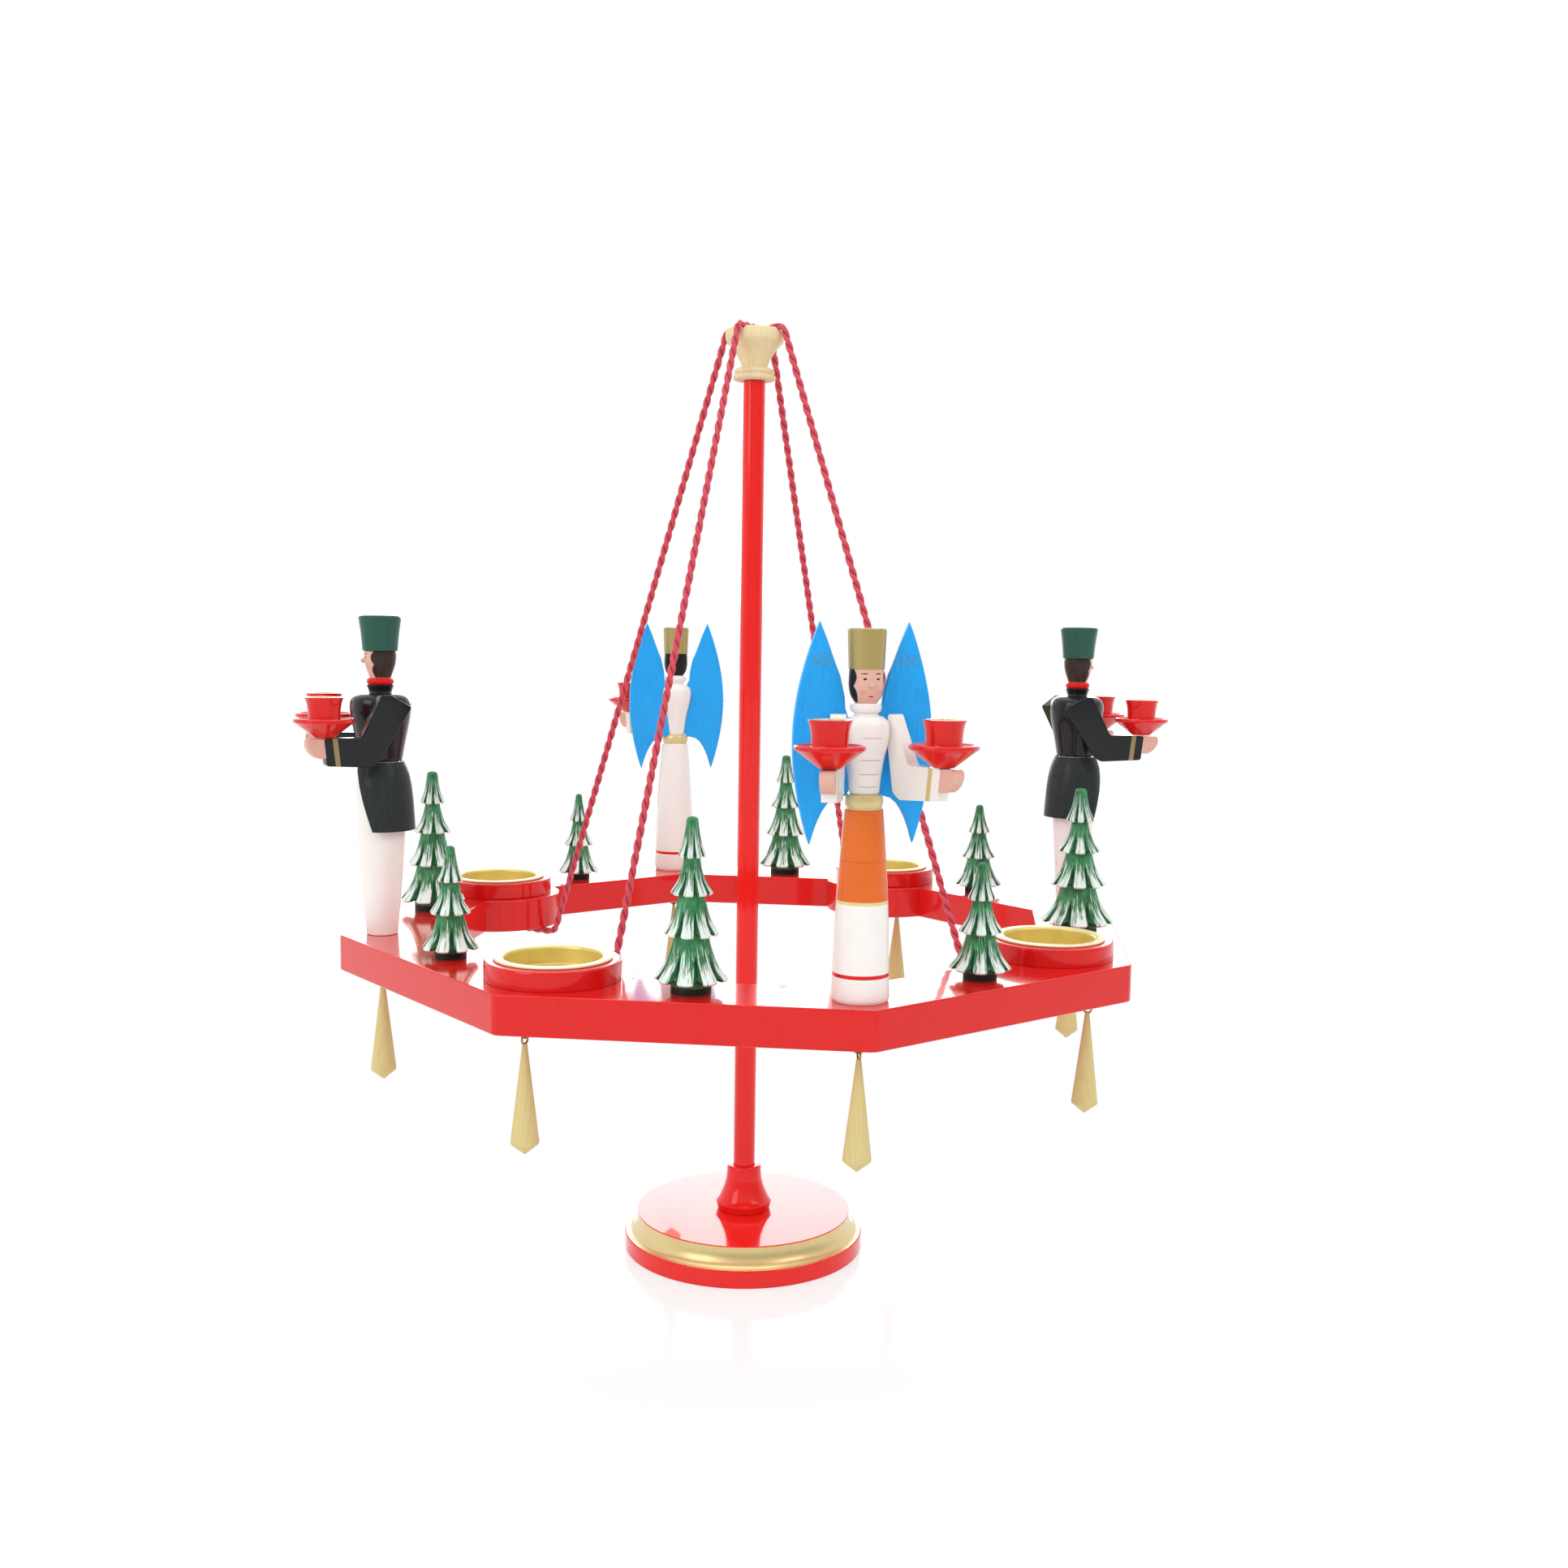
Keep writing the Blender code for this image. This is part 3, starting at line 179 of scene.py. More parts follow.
def show_piece(mesh, name, body, node, materials, smooth_angle=40.0):
    """Put a finished mesh in the scene, on its body and in place of its solid."""
    piece = bpy.data.objects.new(name, mesh)
    bpy.context.scene.collection.objects.link(piece)
    for material in materials:
        mesh.materials.append(material)
    mesh.shade_smooth()
    mesh.set_sharp_from_angle(angle=math.radians(smooth_angle))
    flats = piece.modifiers.new("flats", "WEIGHTED_NORMAL")
    flats.keep_sharp = True
    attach(piece, body)
    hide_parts(node)
    return piece


def around(reach, angle, level):
    """A point at a distance from the pole, at an angle from the front towards the right."""
    return Vector((reach * math.sin(angle), -reach * math.cos(angle), level))


def taut_route(corners):
    """Straight runs between corners, each a (point, bend radius), with an arc at each corner."""
    path = [corners[0][0]]
    for index in range(1, len(corners) - 1):
        corner, bend = corners[index]
        arrive = (corner - corners[index - 1][0]).normalized()
        leave = (corners[index + 1][0] - corner).normalized()
        turn = arrive.angle(leave)
        path.append(corner - arrive * bend * math.tan(turn / 2))
        inward = (leave - arrive * arrive.dot(leave)).normalized()
        centre = path[-1] + inward * bend
        steps = math.ceil(turn / math.radians(6.0))
        for i in range(1, steps + 1):
            swing = turn * i / steps
            path.append(centre + (arrive * math.sin(swing) - inward * math.cos(swing)) * bend)
    path.append(corners[-1][0])
    return path


def even_points(path, step):
    """The same route with points at equal distances."""
    corners = np.array([tuple(p) for p in path])
    lengths = np.concatenate(([0.0], np.cumsum(np.linalg.norm(np.diff(corners, axis=0), axis=1))))
    places = np.linspace(0.0, lengths[-1], max(2, round(lengths[-1] / step)))
    return np.column_stack([np.interp(places, lengths, corners[:, k]) for k in range(3)]), lengths[-1]


def two_ply_mesh(name, points, across, pitch, radius, offset):
    """Two plies wound round a route that stays in one upright plane; across is that plane's normal. The
    lay attribute keeps each point's way along the cord and its place across it."""
    ahead = np.gradient(points, axis=0)
    ahead /= np.linalg.norm(ahead, axis=1)[:, None]
    side = np.cross(ahead, across)
    run = np.concatenate(([0.0], np.cumsum(np.linalg.norm(np.diff(points, axis=0), axis=1))))
    curve = bpy.data.curves.new(name, "CURVE")
    curve.dimensions = "3D"
    curve.bevel_depth = radius
    curve.bevel_resolution = 2
    curve.use_fill_caps = True
    for ply in range(2):
        wind = -math.tau * run / pitch + math.pi * ply
        centre = points + offset * (np.cos(wind)[:, None] * across + np.sin(wind)[:, None] * side)
        spline = curve.splines.new("POLY")
        spline.points.add(len(centre) - 1)
        spline.points.foreach_set("co", np.column_stack([centre, np.ones(len(centre))]).ravel())
    winding = bpy.data.objects.new(name, curve)
    bpy.context.scene.collection.objects.link(winding)
    graph = bpy.context.evaluated_depsgraph_get()
    mesh = bpy.data.meshes.new_from_object(winding.evaluated_get(graph))
    bpy.data.objects.remove(winding)
    bm = bmesh.new()
    bm.from_mesh(mesh)
    bmesh.ops.remove_doubles(bm, verts=bm.verts, dist=1e-7)
    bmesh.ops.recalc_face_normals(bm, faces=bm.faces)
    bm.to_mesh(mesh)
    bm.free()
    mesh.materials.clear()
    spots = np.empty(len(mesh.vertices) * 3)
    mesh.vertices.foreach_get("co", spots)
    spots = spots.reshape(-1, 3)
    lay = np.empty((len(spots), 3))
    batch = 4000
    stride = 3
    for first in range(0, len(spots), batch):
        block = spots[first:first + batch]
        gaps = ((block[:, None, :] - points[None, ::stride]) ** 2).sum(axis=2)
        nearest = gaps.argmin(axis=1) * stride
        reach = block - points[nearest]
        lay[first:first + batch, 0] = run[nearest] + (reach * ahead[nearest]).sum(axis=1)
        lay[first:first + batch, 1] = reach @ across
        lay[first:first + batch, 2] = (reach * side[nearest]).sum(axis=1)
    mesh.attributes.new("lay", "FLOAT_VECTOR", "POINT").data.foreach_set("vector", lay.ravel())
    return mesh


cord_finish, cord_shader, start = start_finish("crimson_cord")
lay = start.node("ShaderNodeAttribute", {"attribute_name": "lay"}, output=1)
along, off_across, off_side = (lay.part(axis) for axis in range(3))
wind_angle = off_side.apply("ARCTAN2", off_across)
fibre_phase = wind_angle * 7.0 - along * (math.tau / CORD_PITCH * 11.0)
fibre = fibre_phase.apply("SINE") * 0.5 + 0.5
off_centre = (off_across * off_across + off_side * off_side).apply("SQRT")
# Painted shade: the plies are darkened where they face each other, near the middle of the cord.
crease_shade = 1 - off_centre.rises(0.0008, 0.0016)
fuzz = lay.noise(2600.0, 3.0)
# The fibre stripes are the cord's own texture, drawn in a light colour that is also a painted highlight
# along the strands.
fibres_with_highlight = lay_over(fibre * 0.35 + fuzz * 0.4, CORD_DARK, CORD_FIBRE_HIGHLIGHT)
connect(cord_shader, "Base Color", lay_over(crease_shade * 0.85, fibres_with_highlight, CORD_CREASE_SHADE))
connect(cord_shader, "Roughness", 0.5 + 0.2 * fuzz)
cord_shader.inputs["Sheen Weight"].default_value = 0.35
cord_shader.inputs["Sheen Roughness"].default_value = 0.4
add_relief(cord_shader, fibre + fuzz * 0.6, 0.6, 0.00012)

slant = CORD_HOLE_LENGTH / math.sqrt(2)
half_route = [
    ((CORD_RIM_REACH, CORD_RIM), 0.0022),
    ((CORD_LOBE_REACH, CORD_UNDER), 0.0050),
    ((CORD_HOLE_REACH, CORD_UNDER), 0.0040),
    ((CORD_HOLE_REACH + slant, CORD_UNDER + slant), 0.0),
]
for cord_name, crossing, dish_corner, angle in (
    ("suspension_cord_lower", CORD_RIM - 0.0039, [((CORD_DISH_REACH, CORD_RIM), 0.0040)], math.pi / 4),
    ("suspension_cord_upper", CORD_RIM + 0.0006, [], -math.pi / 4),
):
    half = dish_corner + half_route
    flat = [((-reach, level), bend) for (reach, level), bend in reversed(half)]
    flat += [((0.0, crossing), 0.0040)] + half
    corners = [(around(reach, angle, level), bend) for (reach, level), bend in flat]
    points, cord_length = even_points(taut_route(corners), CORD_POINT_STEP)
    across = np.array(around(1.0, angle + math.pi / 2, 0.0))
    rope = two_ply_mesh(cord_name + "_plies", points, across, CORD_PITCH, CORD_PLY_RADIUS, CORD_PLY_OFFSET)
    piece = show_piece(rope, cord_name + "_plies", "wreath", cord_name, [cord_finish], 80.0)

# Studio: a plain white floor that runs into the white background, three soft lamps in front and above,
# and a wide one behind that the glossy tops mirror.
floor_mesh = bpy.data.meshes.new("floor")
bm = bmesh.new()
bmesh.ops.create_grid(bm, x_segments=1, y_segments=1, size=6.0)
bm.to_mesh(floor_mesh)
bm.free()
floor = bpy.data.objects.new("floor", floor_mesh)
bpy.context.scene.collection.objects.link(floor)
floor_finish, floor_shader, start = start_finish("white_floor")
floor_shader.inputs["Base Color"].default_value = (0.88, 0.88, 0.88, 1.0)
floor_shader.inputs["Roughness"].default_value = 0.10
camera_ray = start.node("ShaderNodeLightPath", output="Is Camera Ray")
mirror_ray = start.node("ShaderNodeLightPath", output="Is Glossy Ray")
passing_ray = start.node("ShaderNodeLightPath", output="Is Transmission Ray")
distance = start.node("ShaderNodeVectorMath", {"operation": "LENGTH"}, {0: start}, output=1)
plain_white = start.node("ShaderNodeEmission", None, {"Color": (1.0, 1.0, 1.0, 1.0), "Strength": 1.0})
whitened = (camera_ray + mirror_ray + passing_ray) * (0.68 + 0.32 * distance.rises(0.09, 0.20))
floor_look = start.node(
    "ShaderNodeMixShader", None, {0: whitened, 1: Tone(floor_shader.outputs[0]), 2: plain_white}
)
floor_output = floor_finish.node_tree.nodes["Material Output"]
floor_finish.node_tree.links.new(floor_look.socket, floor_output.inputs["Surface"])
floor_mesh.materials.append(floor_finish)

world = bpy.data.worlds.new("studio")
bpy.context.scene.world = world
world.use_nodes = True
background = world.node_tree.nodes["Background"]
camera_ray = Tone(world.node_tree.nodes.new("ShaderNodeLightPath").outputs["Is Camera Ray"])
mirror_ray = camera_ray.node("ShaderNodeLightPath", output="Is Glossy Ray")
way = camera_ray.node("ShaderNodeTexCoord")
mirrored = 0.40 + 0.60 * way.part(1).rises(-0.5, 0.2).apply("MAXIMUM", way.part(2).rises(0.2, 0.7))
strength = (mirror_ray * mirrored + (1 - mirror_ray) * 0.92) * (1 - camera_ray) + camera_ray
background.inputs["Color"].default_value = (1.0, 1.0, 1.0, 1.0)
world.node_tree.links.new(strength.socket, background.inputs["Strength"])

for lamp_name, place, power, width, height in (
    ("key_softbox", (1.1, -1.3, 1.5), 6.0, 0.9, 0.9),
    ("left_softbox", (-1.5, -0.9, 1.0), 7.0, 0.9, 0.9),
    ("top_softbox", (0.0, 0.3, 1.9), 5.0, 1.2, 1.2),
    ("back_softbox", (0.5, 2.6, 0.82), 19.0, 2.3, 0.9),
):
    lamp_data = bpy.data.lights.new(lamp_name, "AREA")
    lamp_data.shape = "RECTANGLE"
    lamp_data.size = width
    lamp_data.size_y = height
    lamp_data.energy = power
    lamp = bpy.data.objects.new(lamp_name, lamp_data)
    bpy.context.scene.collection.objects.link(lamp)
    lamp.location = place
    aim = Vector((0.0, 0.0, 0.22)) - Vector(place)
    lamp.rotation_euler = aim.to_track_quat("-Z", "Y").to_euler()
    lamp.visible_camera = False

bpy.context.scene.view_settings.view_transform = "Standard"

# Base: one turned disc of limewood, 122 mm across. Foot and top are sprayed with glossy red lacquer and
# the cove between them is brushed with gold paint before the last coat.
STAND_RED = (238, 33, 29)
COVE_GOLD = (228, 207, 146)
COVE_LOW = 8.85
COVE_HIGH = 18.05
PAINT_EDGE = 0.08


def turned_shape(runs, steps=72, crisp=0.00025, closed=False):
    """Spin an outline of (radius, height) points in millimetres. Each run is one smooth curve that goes on
    from the end of the run before, and runs meet in a crisp, just broken edge."""
    smooth_spans = 5
    outline = []
    last = []
    for run in runs:
        points = last + [Vector((r, z)) / 1000 for r, z in run]
        last = points[-1:]
        for i in range(len(points) - 1):
            before = points[max(i - 1, 0)]
            after = points[min(i + 2, len(points) - 1)]
            spans = smooth_spans if len(points) > 2 else 1
            for k in range(spans):
                t = k / spans
                outline.append(
                    points[i] * (2 * t**3 - 3 * t**2 + 1)
                    + (points[i + 1] - before) / 2 * (t**3 - 2 * t**2 + t)
                    + points[i + 1] * (3 * t**2 - 2 * t**3)
                    + (after - points[i]) / 2 * (t**3 - t**2)
                )
        outline.append(points[-1])
    bm = bmesh.new()
    verts = [bm.verts.new((p.x, 0.0, p.y)) for p in outline]
    edges = [bm.edges.new(pair) for pair in zip(verts, verts[1:]) if (pair[0].co - pair[1].co).length > 1e-7]
    if closed:
        edges.append(bm.edges.new((verts[-1], verts[0])))
    bmesh.ops.spin(
        bm, geom=verts + edges, cent=(0, 0, 0), axis=(0, 0, 1), angle=math.tau, steps=steps, use_merge=True
    )
    bmesh.ops.remove_doubles(bm, verts=bm.verts, dist=2e-6)
    bmesh.ops.recalc_face_normals(bm, faces=bm.faces)
    break_edges(bm, crisp, 30.0)
    return bm


def break_edges(bm, width, least_angle):
    """Round the sharp edges of a shape a little, as sanding does."""
    sharp = [e for e in bm.edges if e.is_manifold and e.calc_face_angle() > math.radians(least_angle)]
    if sharp and width > 0:
        bmesh.ops.bevel(
            bm, geom=sharp, offset=width, offset_type="OFFSET", segments=2, profile=0.5,
            affect="EDGES", material=-1, clamp_overlap=True,
        )


def settle(bm, name, place=None, paint_slot=0):
    """Turn a shape into a mesh that remembers its own coordinates, then put it in its place."""
    mesh = bpy.data.meshes.new(name)
    bm.to_mesh(mesh)
    bm.free()
    own = np.empty(len(mesh.vertices) * 3)
    mesh.vertices.foreach_get("co", own)
    mesh.attributes.new("own", "FLOAT_VECTOR", "POINT").data.foreach_set("vector", own)
    mesh.polygons.foreach_set("material_index", [paint_slot] * len(mesh.polygons))
    if place is not None:
        mesh.transform(place)
    return mesh


def glue_up(name, meshes):
    """Join settled meshes into one, each keeping its own coordinates and its paint."""
    bm = bmesh.new()
    for mesh in meshes:
        bm.from_mesh(mesh)
    joined = bpy.data.meshes.new(name)
    bm.to_mesh(joined)
    bm.free()
    return joined


def own_place(start):
    """A piece's own coordinates, as it lay on the lathe or the bench."""
    return start.node("ShaderNodeAttribute", {"attribute_name": "own"}, output=1)


def stretched(own, share):
    """The same coordinates with a pattern drawn out along the wood."""
    values = {"Vector": own, "Scale": (1.0, 1.0, share)}
    return own.node("ShaderNodeMapping", {"vector_type": "POINT"}, values)


def painted_wood(name, paint, roughness=0.14, coat=1.0, streak=0.12, relief=0.4):
    """Lacquer on turned wood: the paint's colours by place, with faint grain and clouds showing through
    and the fine ripple of a sprayed coat."""
    finish, shader, start = start_finish(name)
    own = own_place(start)
    x, y, z = (own.part(axis) * 1000 for axis in range(3))
    grain_way = stretched(own, 0.12)
    grain = grain_way.noise(900.0, 4.0)
    cloud = own.noise(70.0, 3.0)
    ripple = own.noise(1500.0, 2.0)
    dull = cloud.rises(0.40, 0.75) * streak + grain.rises(0.45, 0.80) * (streak * 0.6)
    colour = lay_over(dull, paint(x, y, z, grain), (205, 196, 190), "MULTIPLY")
    connect(shader, "Base Color", colour)
    connect(shader, "Roughness", roughness + 0.10 * cloud + 0.06 * grain)
    shader.inputs["Specular IOR Level"].default_value = 0.10
    shader.inputs["Coat Weight"].default_value = coat
    shader.inputs["Coat Roughness"].default_value = 0.07
    shader.inputs["Coat IOR"].default_value = 1.36
    add_relief(shader, grain * 0.6 + ripple * 0.4, relief, 0.00003)
    return finish, shader, z, cloud


def base_paint(x, y, z, grain):
    brush = (grain - 0.5) * 0.3
    return lay_over((z + brush).within(COVE_LOW, COVE_HIGH, PAINT_EDGE), STAND_RED, COVE_GOLD)


base_finish, base_shader, height, cloud = painted_wood("base_paint", base_paint)
gilt = height.within(COVE_LOW, COVE_HIGH, PAINT_EDGE)
connect(base_shader, "Metallic", gilt * 0.8)
connect(base_shader, "Roughness", 0.14 + 0.10 * cloud + 0.16 * gilt)
base_shader.inputs["Coat Roughness"].default_value = 0.03
cove_angles = [math.pi / 20 * k for k in range(1, 11)]
cove = [(59.7 - 5.2 * math.sin(angle), 18.0 - 9.1 * math.cos(angle)) for angle in cove_angles]
base_shape = turned_shape(
    [[(0, 0), (60.6, 0)], [(61.0, 0.5)], [(61.0, 8.3)], [(60.5, 8.9)], [(59.7, 8.9)], cove,
     [(54.5, 18.6)], [(5.6, 18.6)], [(5.6, 7.6)], [(0, 7.6)]],
    steps=128, crisp=0.00018,
)
base_mesh = settle(base_shape, "base_foot_turned")
show_piece(base_mesh, "base_foot_turned", "stand", "base_foot", [base_finish], 50.0)

# Collar: a small turned trumpet, glued round the pole's foot and lacquered with it.
COLLAR_SEAT = 0.0189


def stand_paint(x, y, z, grain):
    return lay_over(grain.rises(0.4, 0.7) * 0.15, STAND_RED, (214, 24, 22))


stand_finish = painted_wood("red_stand_paint", stand_paint, streak=0.06, relief=0.2)[0]
collar_shape = turned_shape(
    [[(13.2, -0.3), (14.3, 3.5)],
     [(12.9, 5.6), (11.5, 8.4), (10.2, 11.8), (9.3, 15.0), (8.9, 18.4), (8.75, 21.2)],
     [(8.4, 22.0), (7.6, 22.4)], [(5.6, 22.6)], [(5.6, -0.3)]],
    closed=True,
)
collar_mesh = settle(collar_shape, "pole_collar_turned", Matrix.Translation((0, 0, COLLAR_SEAT)))
show_piece(collar_mesh, "pole_collar_turned", "stand", "pole_collar", [stand_finish])

# Pole: a beech dowel under the same red lacquer, with a tenon on top that the hub turns on. Its shape is
# cut across every 20 mm, so that its faces aren't long slivers.
POLE_FOOT = 7.9
POLE_RADIUS = 5.5
POLE_SHOULDER = 437.4
TENON_RADIUS = 3.0
TENON_TOP = 449.4
pole_shape = turned_shape(
    [[(0, POLE_FOOT), (POLE_RADIUS, POLE_FOOT)], [(POLE_RADIUS, POLE_SHOULDER)],
     [(TENON_RADIUS, POLE_SHOULDER)], [(TENON_RADIUS, TENON_TOP)], [(0, TENON_TOP)]],
    steps=64, crisp=0.0003,
)
for cut in range(1, 22):
    bmesh.ops.bisect_plane(
        pole_shape, geom=pole_shape.verts[:] + pole_shape.edges[:] + pole_shape.faces[:],
        plane_co=(0, 0, 0.02 * cut), plane_no=(0, 0, 1),
    )
pole_mesh = settle(pole_shape, "pole_dowel")
show_piece(pole_mesh, "pole_dowel", "stand", "pole", [stand_finish])

# Hub: turned in bare limewood, with a bead below, a flared body and a dish on top. Four notches in the
# rim keep the cords on its diagonals.
HUB_SEAT = 0.4377
NOTCH_FLOOR = 0.0230
NOTCH_INNER_REACH = 0.0098
NOTCH_HALF_WIDTH = 0.0021


def bare_wood(name, light, dark, figure):
    """Unpainted limewood: growth rings along the piece, fine pores and lathe marks."""
    finish, shader, start = start_finish(name)
    own = own_place(start)
    along = stretched(own, 0.07)
    fibre = along.noise(1300.0, 5.0)
    rings = own.node(
        "ShaderNodeTexWave", {"wave_type": "BANDS", "bands_direction": "X"},
        {"Vector": along, "Scale": 190.0, "Distortion": 3.0, "Detail": 2.0, "Detail Scale": 1.4},
    )
    lathe = (own.part(2) * 14000.0).apply("SINE")
    blotch = own.noise(120.0, 2.0)
    wood = lay_over(rings * figure + fibre.rises(0.4, 0.7) * figure, light, dark)
    wood = lay_over(blotch.rises(0.45, 0.75) * 0.25, wood, (222, 200, 144))
    connect(shader, "Base Color", wood)
    connect(shader, "Roughness", 0.5 + 0.2 * fibre)
    shader.inputs["Specular IOR Level"].default_value = 0.35
    add_relief(shader, fibre + lathe * 0.25, 0.5, 0.00005)
    return finish


bare_finish = bare_wood("bare_limewood", (238, 221, 178), (206, 180, 126), 0.20)
hub_shape = turned_shape(
    [[(0, 12.3), (3.3, 12.3)], [(3.3, 0)], [(8.6, 0)], [(10.2, 0.5), (10.6, 1.6), (9.9, 2.6)],
     [(9.3, 3.0)], [(10.0, 3.9), (9.6, 5.0), (8.2, 5.9)], [(6.3, 6.6)],
     [(6.9, 8.6), (8.9, 12.4), (11.2, 15.6), (13.9, 18.6)], [(14.3, 19.2)],
     [(14.5, 21.6), (14.2, 23.8), (13.5, 24.6)], [(10.9, 24.6)], [(10.0, 19.6)], [(0, 19.6)]],
    steps=96, crisp=0.0002,
)
for spot in hub_shape.verts:
    angle = math.atan2(spot.co.y, spot.co.x)
    reach = math.hypot(spot.co.x, spot.co.y)
    off_line = abs(math.sin(2 * (angle - math.pi / 4)) / 2) * reach
    if spot.co.z > NOTCH_FLOOR and reach > NOTCH_INNER_REACH and off_line < NOTCH_HALF_WIDTH:
        spot.co.z -= math.sqrt(NOTCH_HALF_WIDTH**2 - off_line**2) * 0.7
hub_mesh = settle(hub_shape, "hub_turned", Matrix.Translation((0, 0, HUB_SEAT)))
show_piece(hub_mesh, "hub_turned", "wreath", "hub", [bare_finish])

# Ring: eight mitred boards, 16.8 mm thick, sanded to one octagon with a round lobe at each tealight.
# It is lacquered red, and a small wire eye is screwed in under every corner.
RED = (222, 26, 23)
RING_LOW = 0.1519
RING_HIGH = 0.1687
CORNER_REACH = 0.2000
CORNER_RADIUS = 0.0060
INNER_CORNER_REACH = 0.1575
LOBE_REACH = 0.1610
LOBE_RADIUS = 0.0340
EYE_LEVEL = 0.1494
EYE_REACH = 0.1800
EYE_RADIUS = 0.0026
WIRE_RADIUS = 0.00045
HALF_SIDE = math.pi / 8
CORNERS = ("front", "front_right", "right", "back_right", "back", "back_left", "left", "front_left")


def flat_board(loops, low, high, edge_width):
    """Fill outlines of (x, y) points, raise them to a board and break its edges."""
    bm = bmesh.new()
    rims = []
    for loop in loops:
        verts = [bm.verts.new((x, y, low)) for x, y in loop]
        rims += [bm.edges.new((verts[i - 1], verts[i])) for i in range(len(verts))]
    bmesh.ops.triangle_fill(bm, use_beauty=True, use_dissolve=True, edges=rims)
    raised = bmesh.ops.extrude_face_region(bm, geom=bm.faces[:])
    tops = [v for v in raised["geom"] if isinstance(v, bmesh.types.BMVert)]
    bmesh.ops.translate(bm, verts=tops, vec=(0, 0, high - low))
    bmesh.ops.recalc_face_normals(bm, faces=bm.faces)
    rims = [
        e for e in bm.edges
        if e.is_manifold and e.calc_face_angle() > 1.2 and abs(e.verts[0].co.z - e.verts[1].co.z) < 1e-5
    ]
    bmesh.ops.bevel(
        bm, geom=rims, offset=edge_width, offset_type="OFFSET", segments=3, profile=0.5,
        affect="EDGES", material=-1, clamp_overlap=True,
    )
    return bm


def wire_loop(radius, wire, axis):
    """A closed ring of wire about the X or the Y axis."""
    bm = bmesh.new()
    turn = Matrix.Rotation(math.pi / 2, 4, "X") if axis == "X" else Matrix.Rotation(-math.pi / 2, 4, "Y")
    made = bmesh.ops.create_circle(bm, segments=10, radius=wire)
    bmesh.ops.transform(bm, matrix=Matrix.Translation((0, 0, radius)) @ turn, verts=made["verts"])
    bmesh.ops.spin(
        bm, geom=bm.verts[:] + bm.edges[:], cent=(0, 0, 0), axis=(1, 0, 0) if axis == "X" else (0, 1, 0),
        angle=math.tau, steps=28, use_merge=True,
    )
    bmesh.ops.remove_doubles(bm, verts=bm.verts, dist=1e-6)
    bmesh.ops.recalc_face_normals(bm, faces=bm.faces)
    return bm


def on_ring(angle, reach, level):
    """Placement on the ring: the piece's own -Y looks outwards."""
    return Matrix.Rotation(angle, 4, "Z") @ Matrix.Translation((0, -reach, level))


outer_loop = []
inner_loop = []
lobe_swing = math.acos((LOBE_REACH - INNER_CORNER_REACH) * math.cos(HALF_SIDE) / LOBE_RADIUS) - HALF_SIDE
for corner in range(8):
    angle = math.pi / 4 * corner
    centre = around(CORNER_REACH - CORNER_RADIUS / math.cos(HALF_SIDE), angle, 0)
    for i in range(9):
        point = centre + around(CORNER_RADIUS, angle + HALF_SIDE * (i / 4 - 1), 0)
        outer_loop.append((point.x, point.y))
    if corner % 2 == 0:
        point = around(INNER_CORNER_REACH, angle, 0)
        inner_loop.append((point.x, point.y))
        continue
    for i in range(25):
        swing = lobe_swing * (1 - i / 12)
        point = around(LOBE_REACH, angle, 0) + around(LOBE_RADIUS, angle + math.pi + swing, 0)
        inner_loop.append((point.x, point.y))


def plain_red(x, y, z, grain):
    return lay_over(grain.rises(0.4, 0.7) * 0.15, RED, (198, 18, 18))


red_finish = painted_wood("red_lacquer_paint", plain_red, streak=0.08, relief=0.2)[0]
board_mesh = settle(flat_board([outer_loop, inner_loop], RING_LOW, RING_HIGH, 0.0008), "octagon_ring_board")
wire_finish, wire_shader, start = start_finish("brassed_wire")
rub = start.noise(700.0, 3.0)
connect(wire_shader, "Base Color", lay_over(rub, (190, 170, 110), (142, 124, 78)))
connect(wire_shader, "Roughness", 0.25 + 0.25 * rub)
wire_shader.inputs["Metallic"].default_value = 1.0
ring_meshes = [board_mesh]
for corner in range(8):
    place = on_ring(math.pi / 4 * corner, EYE_REACH, EYE_LEVEL)
    ring_meshes.append(settle(wire_loop(EYE_RADIUS, WIRE_RADIUS, "Y"), "eye", place, 1))
ring_mesh = glue_up("octagon_ring_board", ring_meshes)
show_piece(ring_mesh, "octagon_ring_board", "wreath", "octagon_ring",
           [red_finish, wire_finish], 30.0)

# Tealight holders: turned discs, glued on the lobes. The brass cups are spun from thin sheet with a
# flared rim, and lift out of the holders' bores.
HOLDER_SEAT = 0.1690
holder_rings = [
    [(21.5, 0.0), (21.8, -0.25)], [(28.9, -0.25)], [(29.0, -0.1)], [(29.0, 6.9)],
    [(28.7, 7.7), (27.9, 8.0)], [(21.8, 8.0)], [(21.5, 7.7)],
]
brass_finish, brass_shader, start = start_finish("spun_brass")
own = own_place(start)
off_axis = own.node("ShaderNodeVectorMath", {"operation": "MULTIPLY"}, {0: own, 1: (1.0, 1.0, 0.0)})
reach = own.node("ShaderNodeVectorMath", {"operation": "LENGTH"}, {0: off_axis}, output=1)
groove_values = {"W": reach, "Scale": 5200.0, "Detail": 3.0}
grooves = own.node("ShaderNodeTexNoise", {"noise_dimensions": "1D"}, groove_values)
tarnish = own.noise(160.0, 4.0)
brass_colour = lay_over(tarnish.rises(0.4, 0.8) * 0.4, (232, 210, 126), (206, 180, 96))
brass_colour = lay_over(grooves * 0.25, brass_colour, (244, 230, 168))
# Painted highlight: the flared rim is painted nearly white, with less metal, as the bright reflection along
# it.
rim = reach.rises(0.0211, 0.0216)
connect(brass_shader, "Base Color", lay_over(rim * 0.8, brass_colour, (250, 242, 212)))
connect(brass_shader, "Roughness", 0.36 + 0.14 * tarnish)
connect(brass_shader, "Metallic", 0.62 - rim * 0.2)
add_relief(brass_shader, grooves, 0.35, 0.00003)
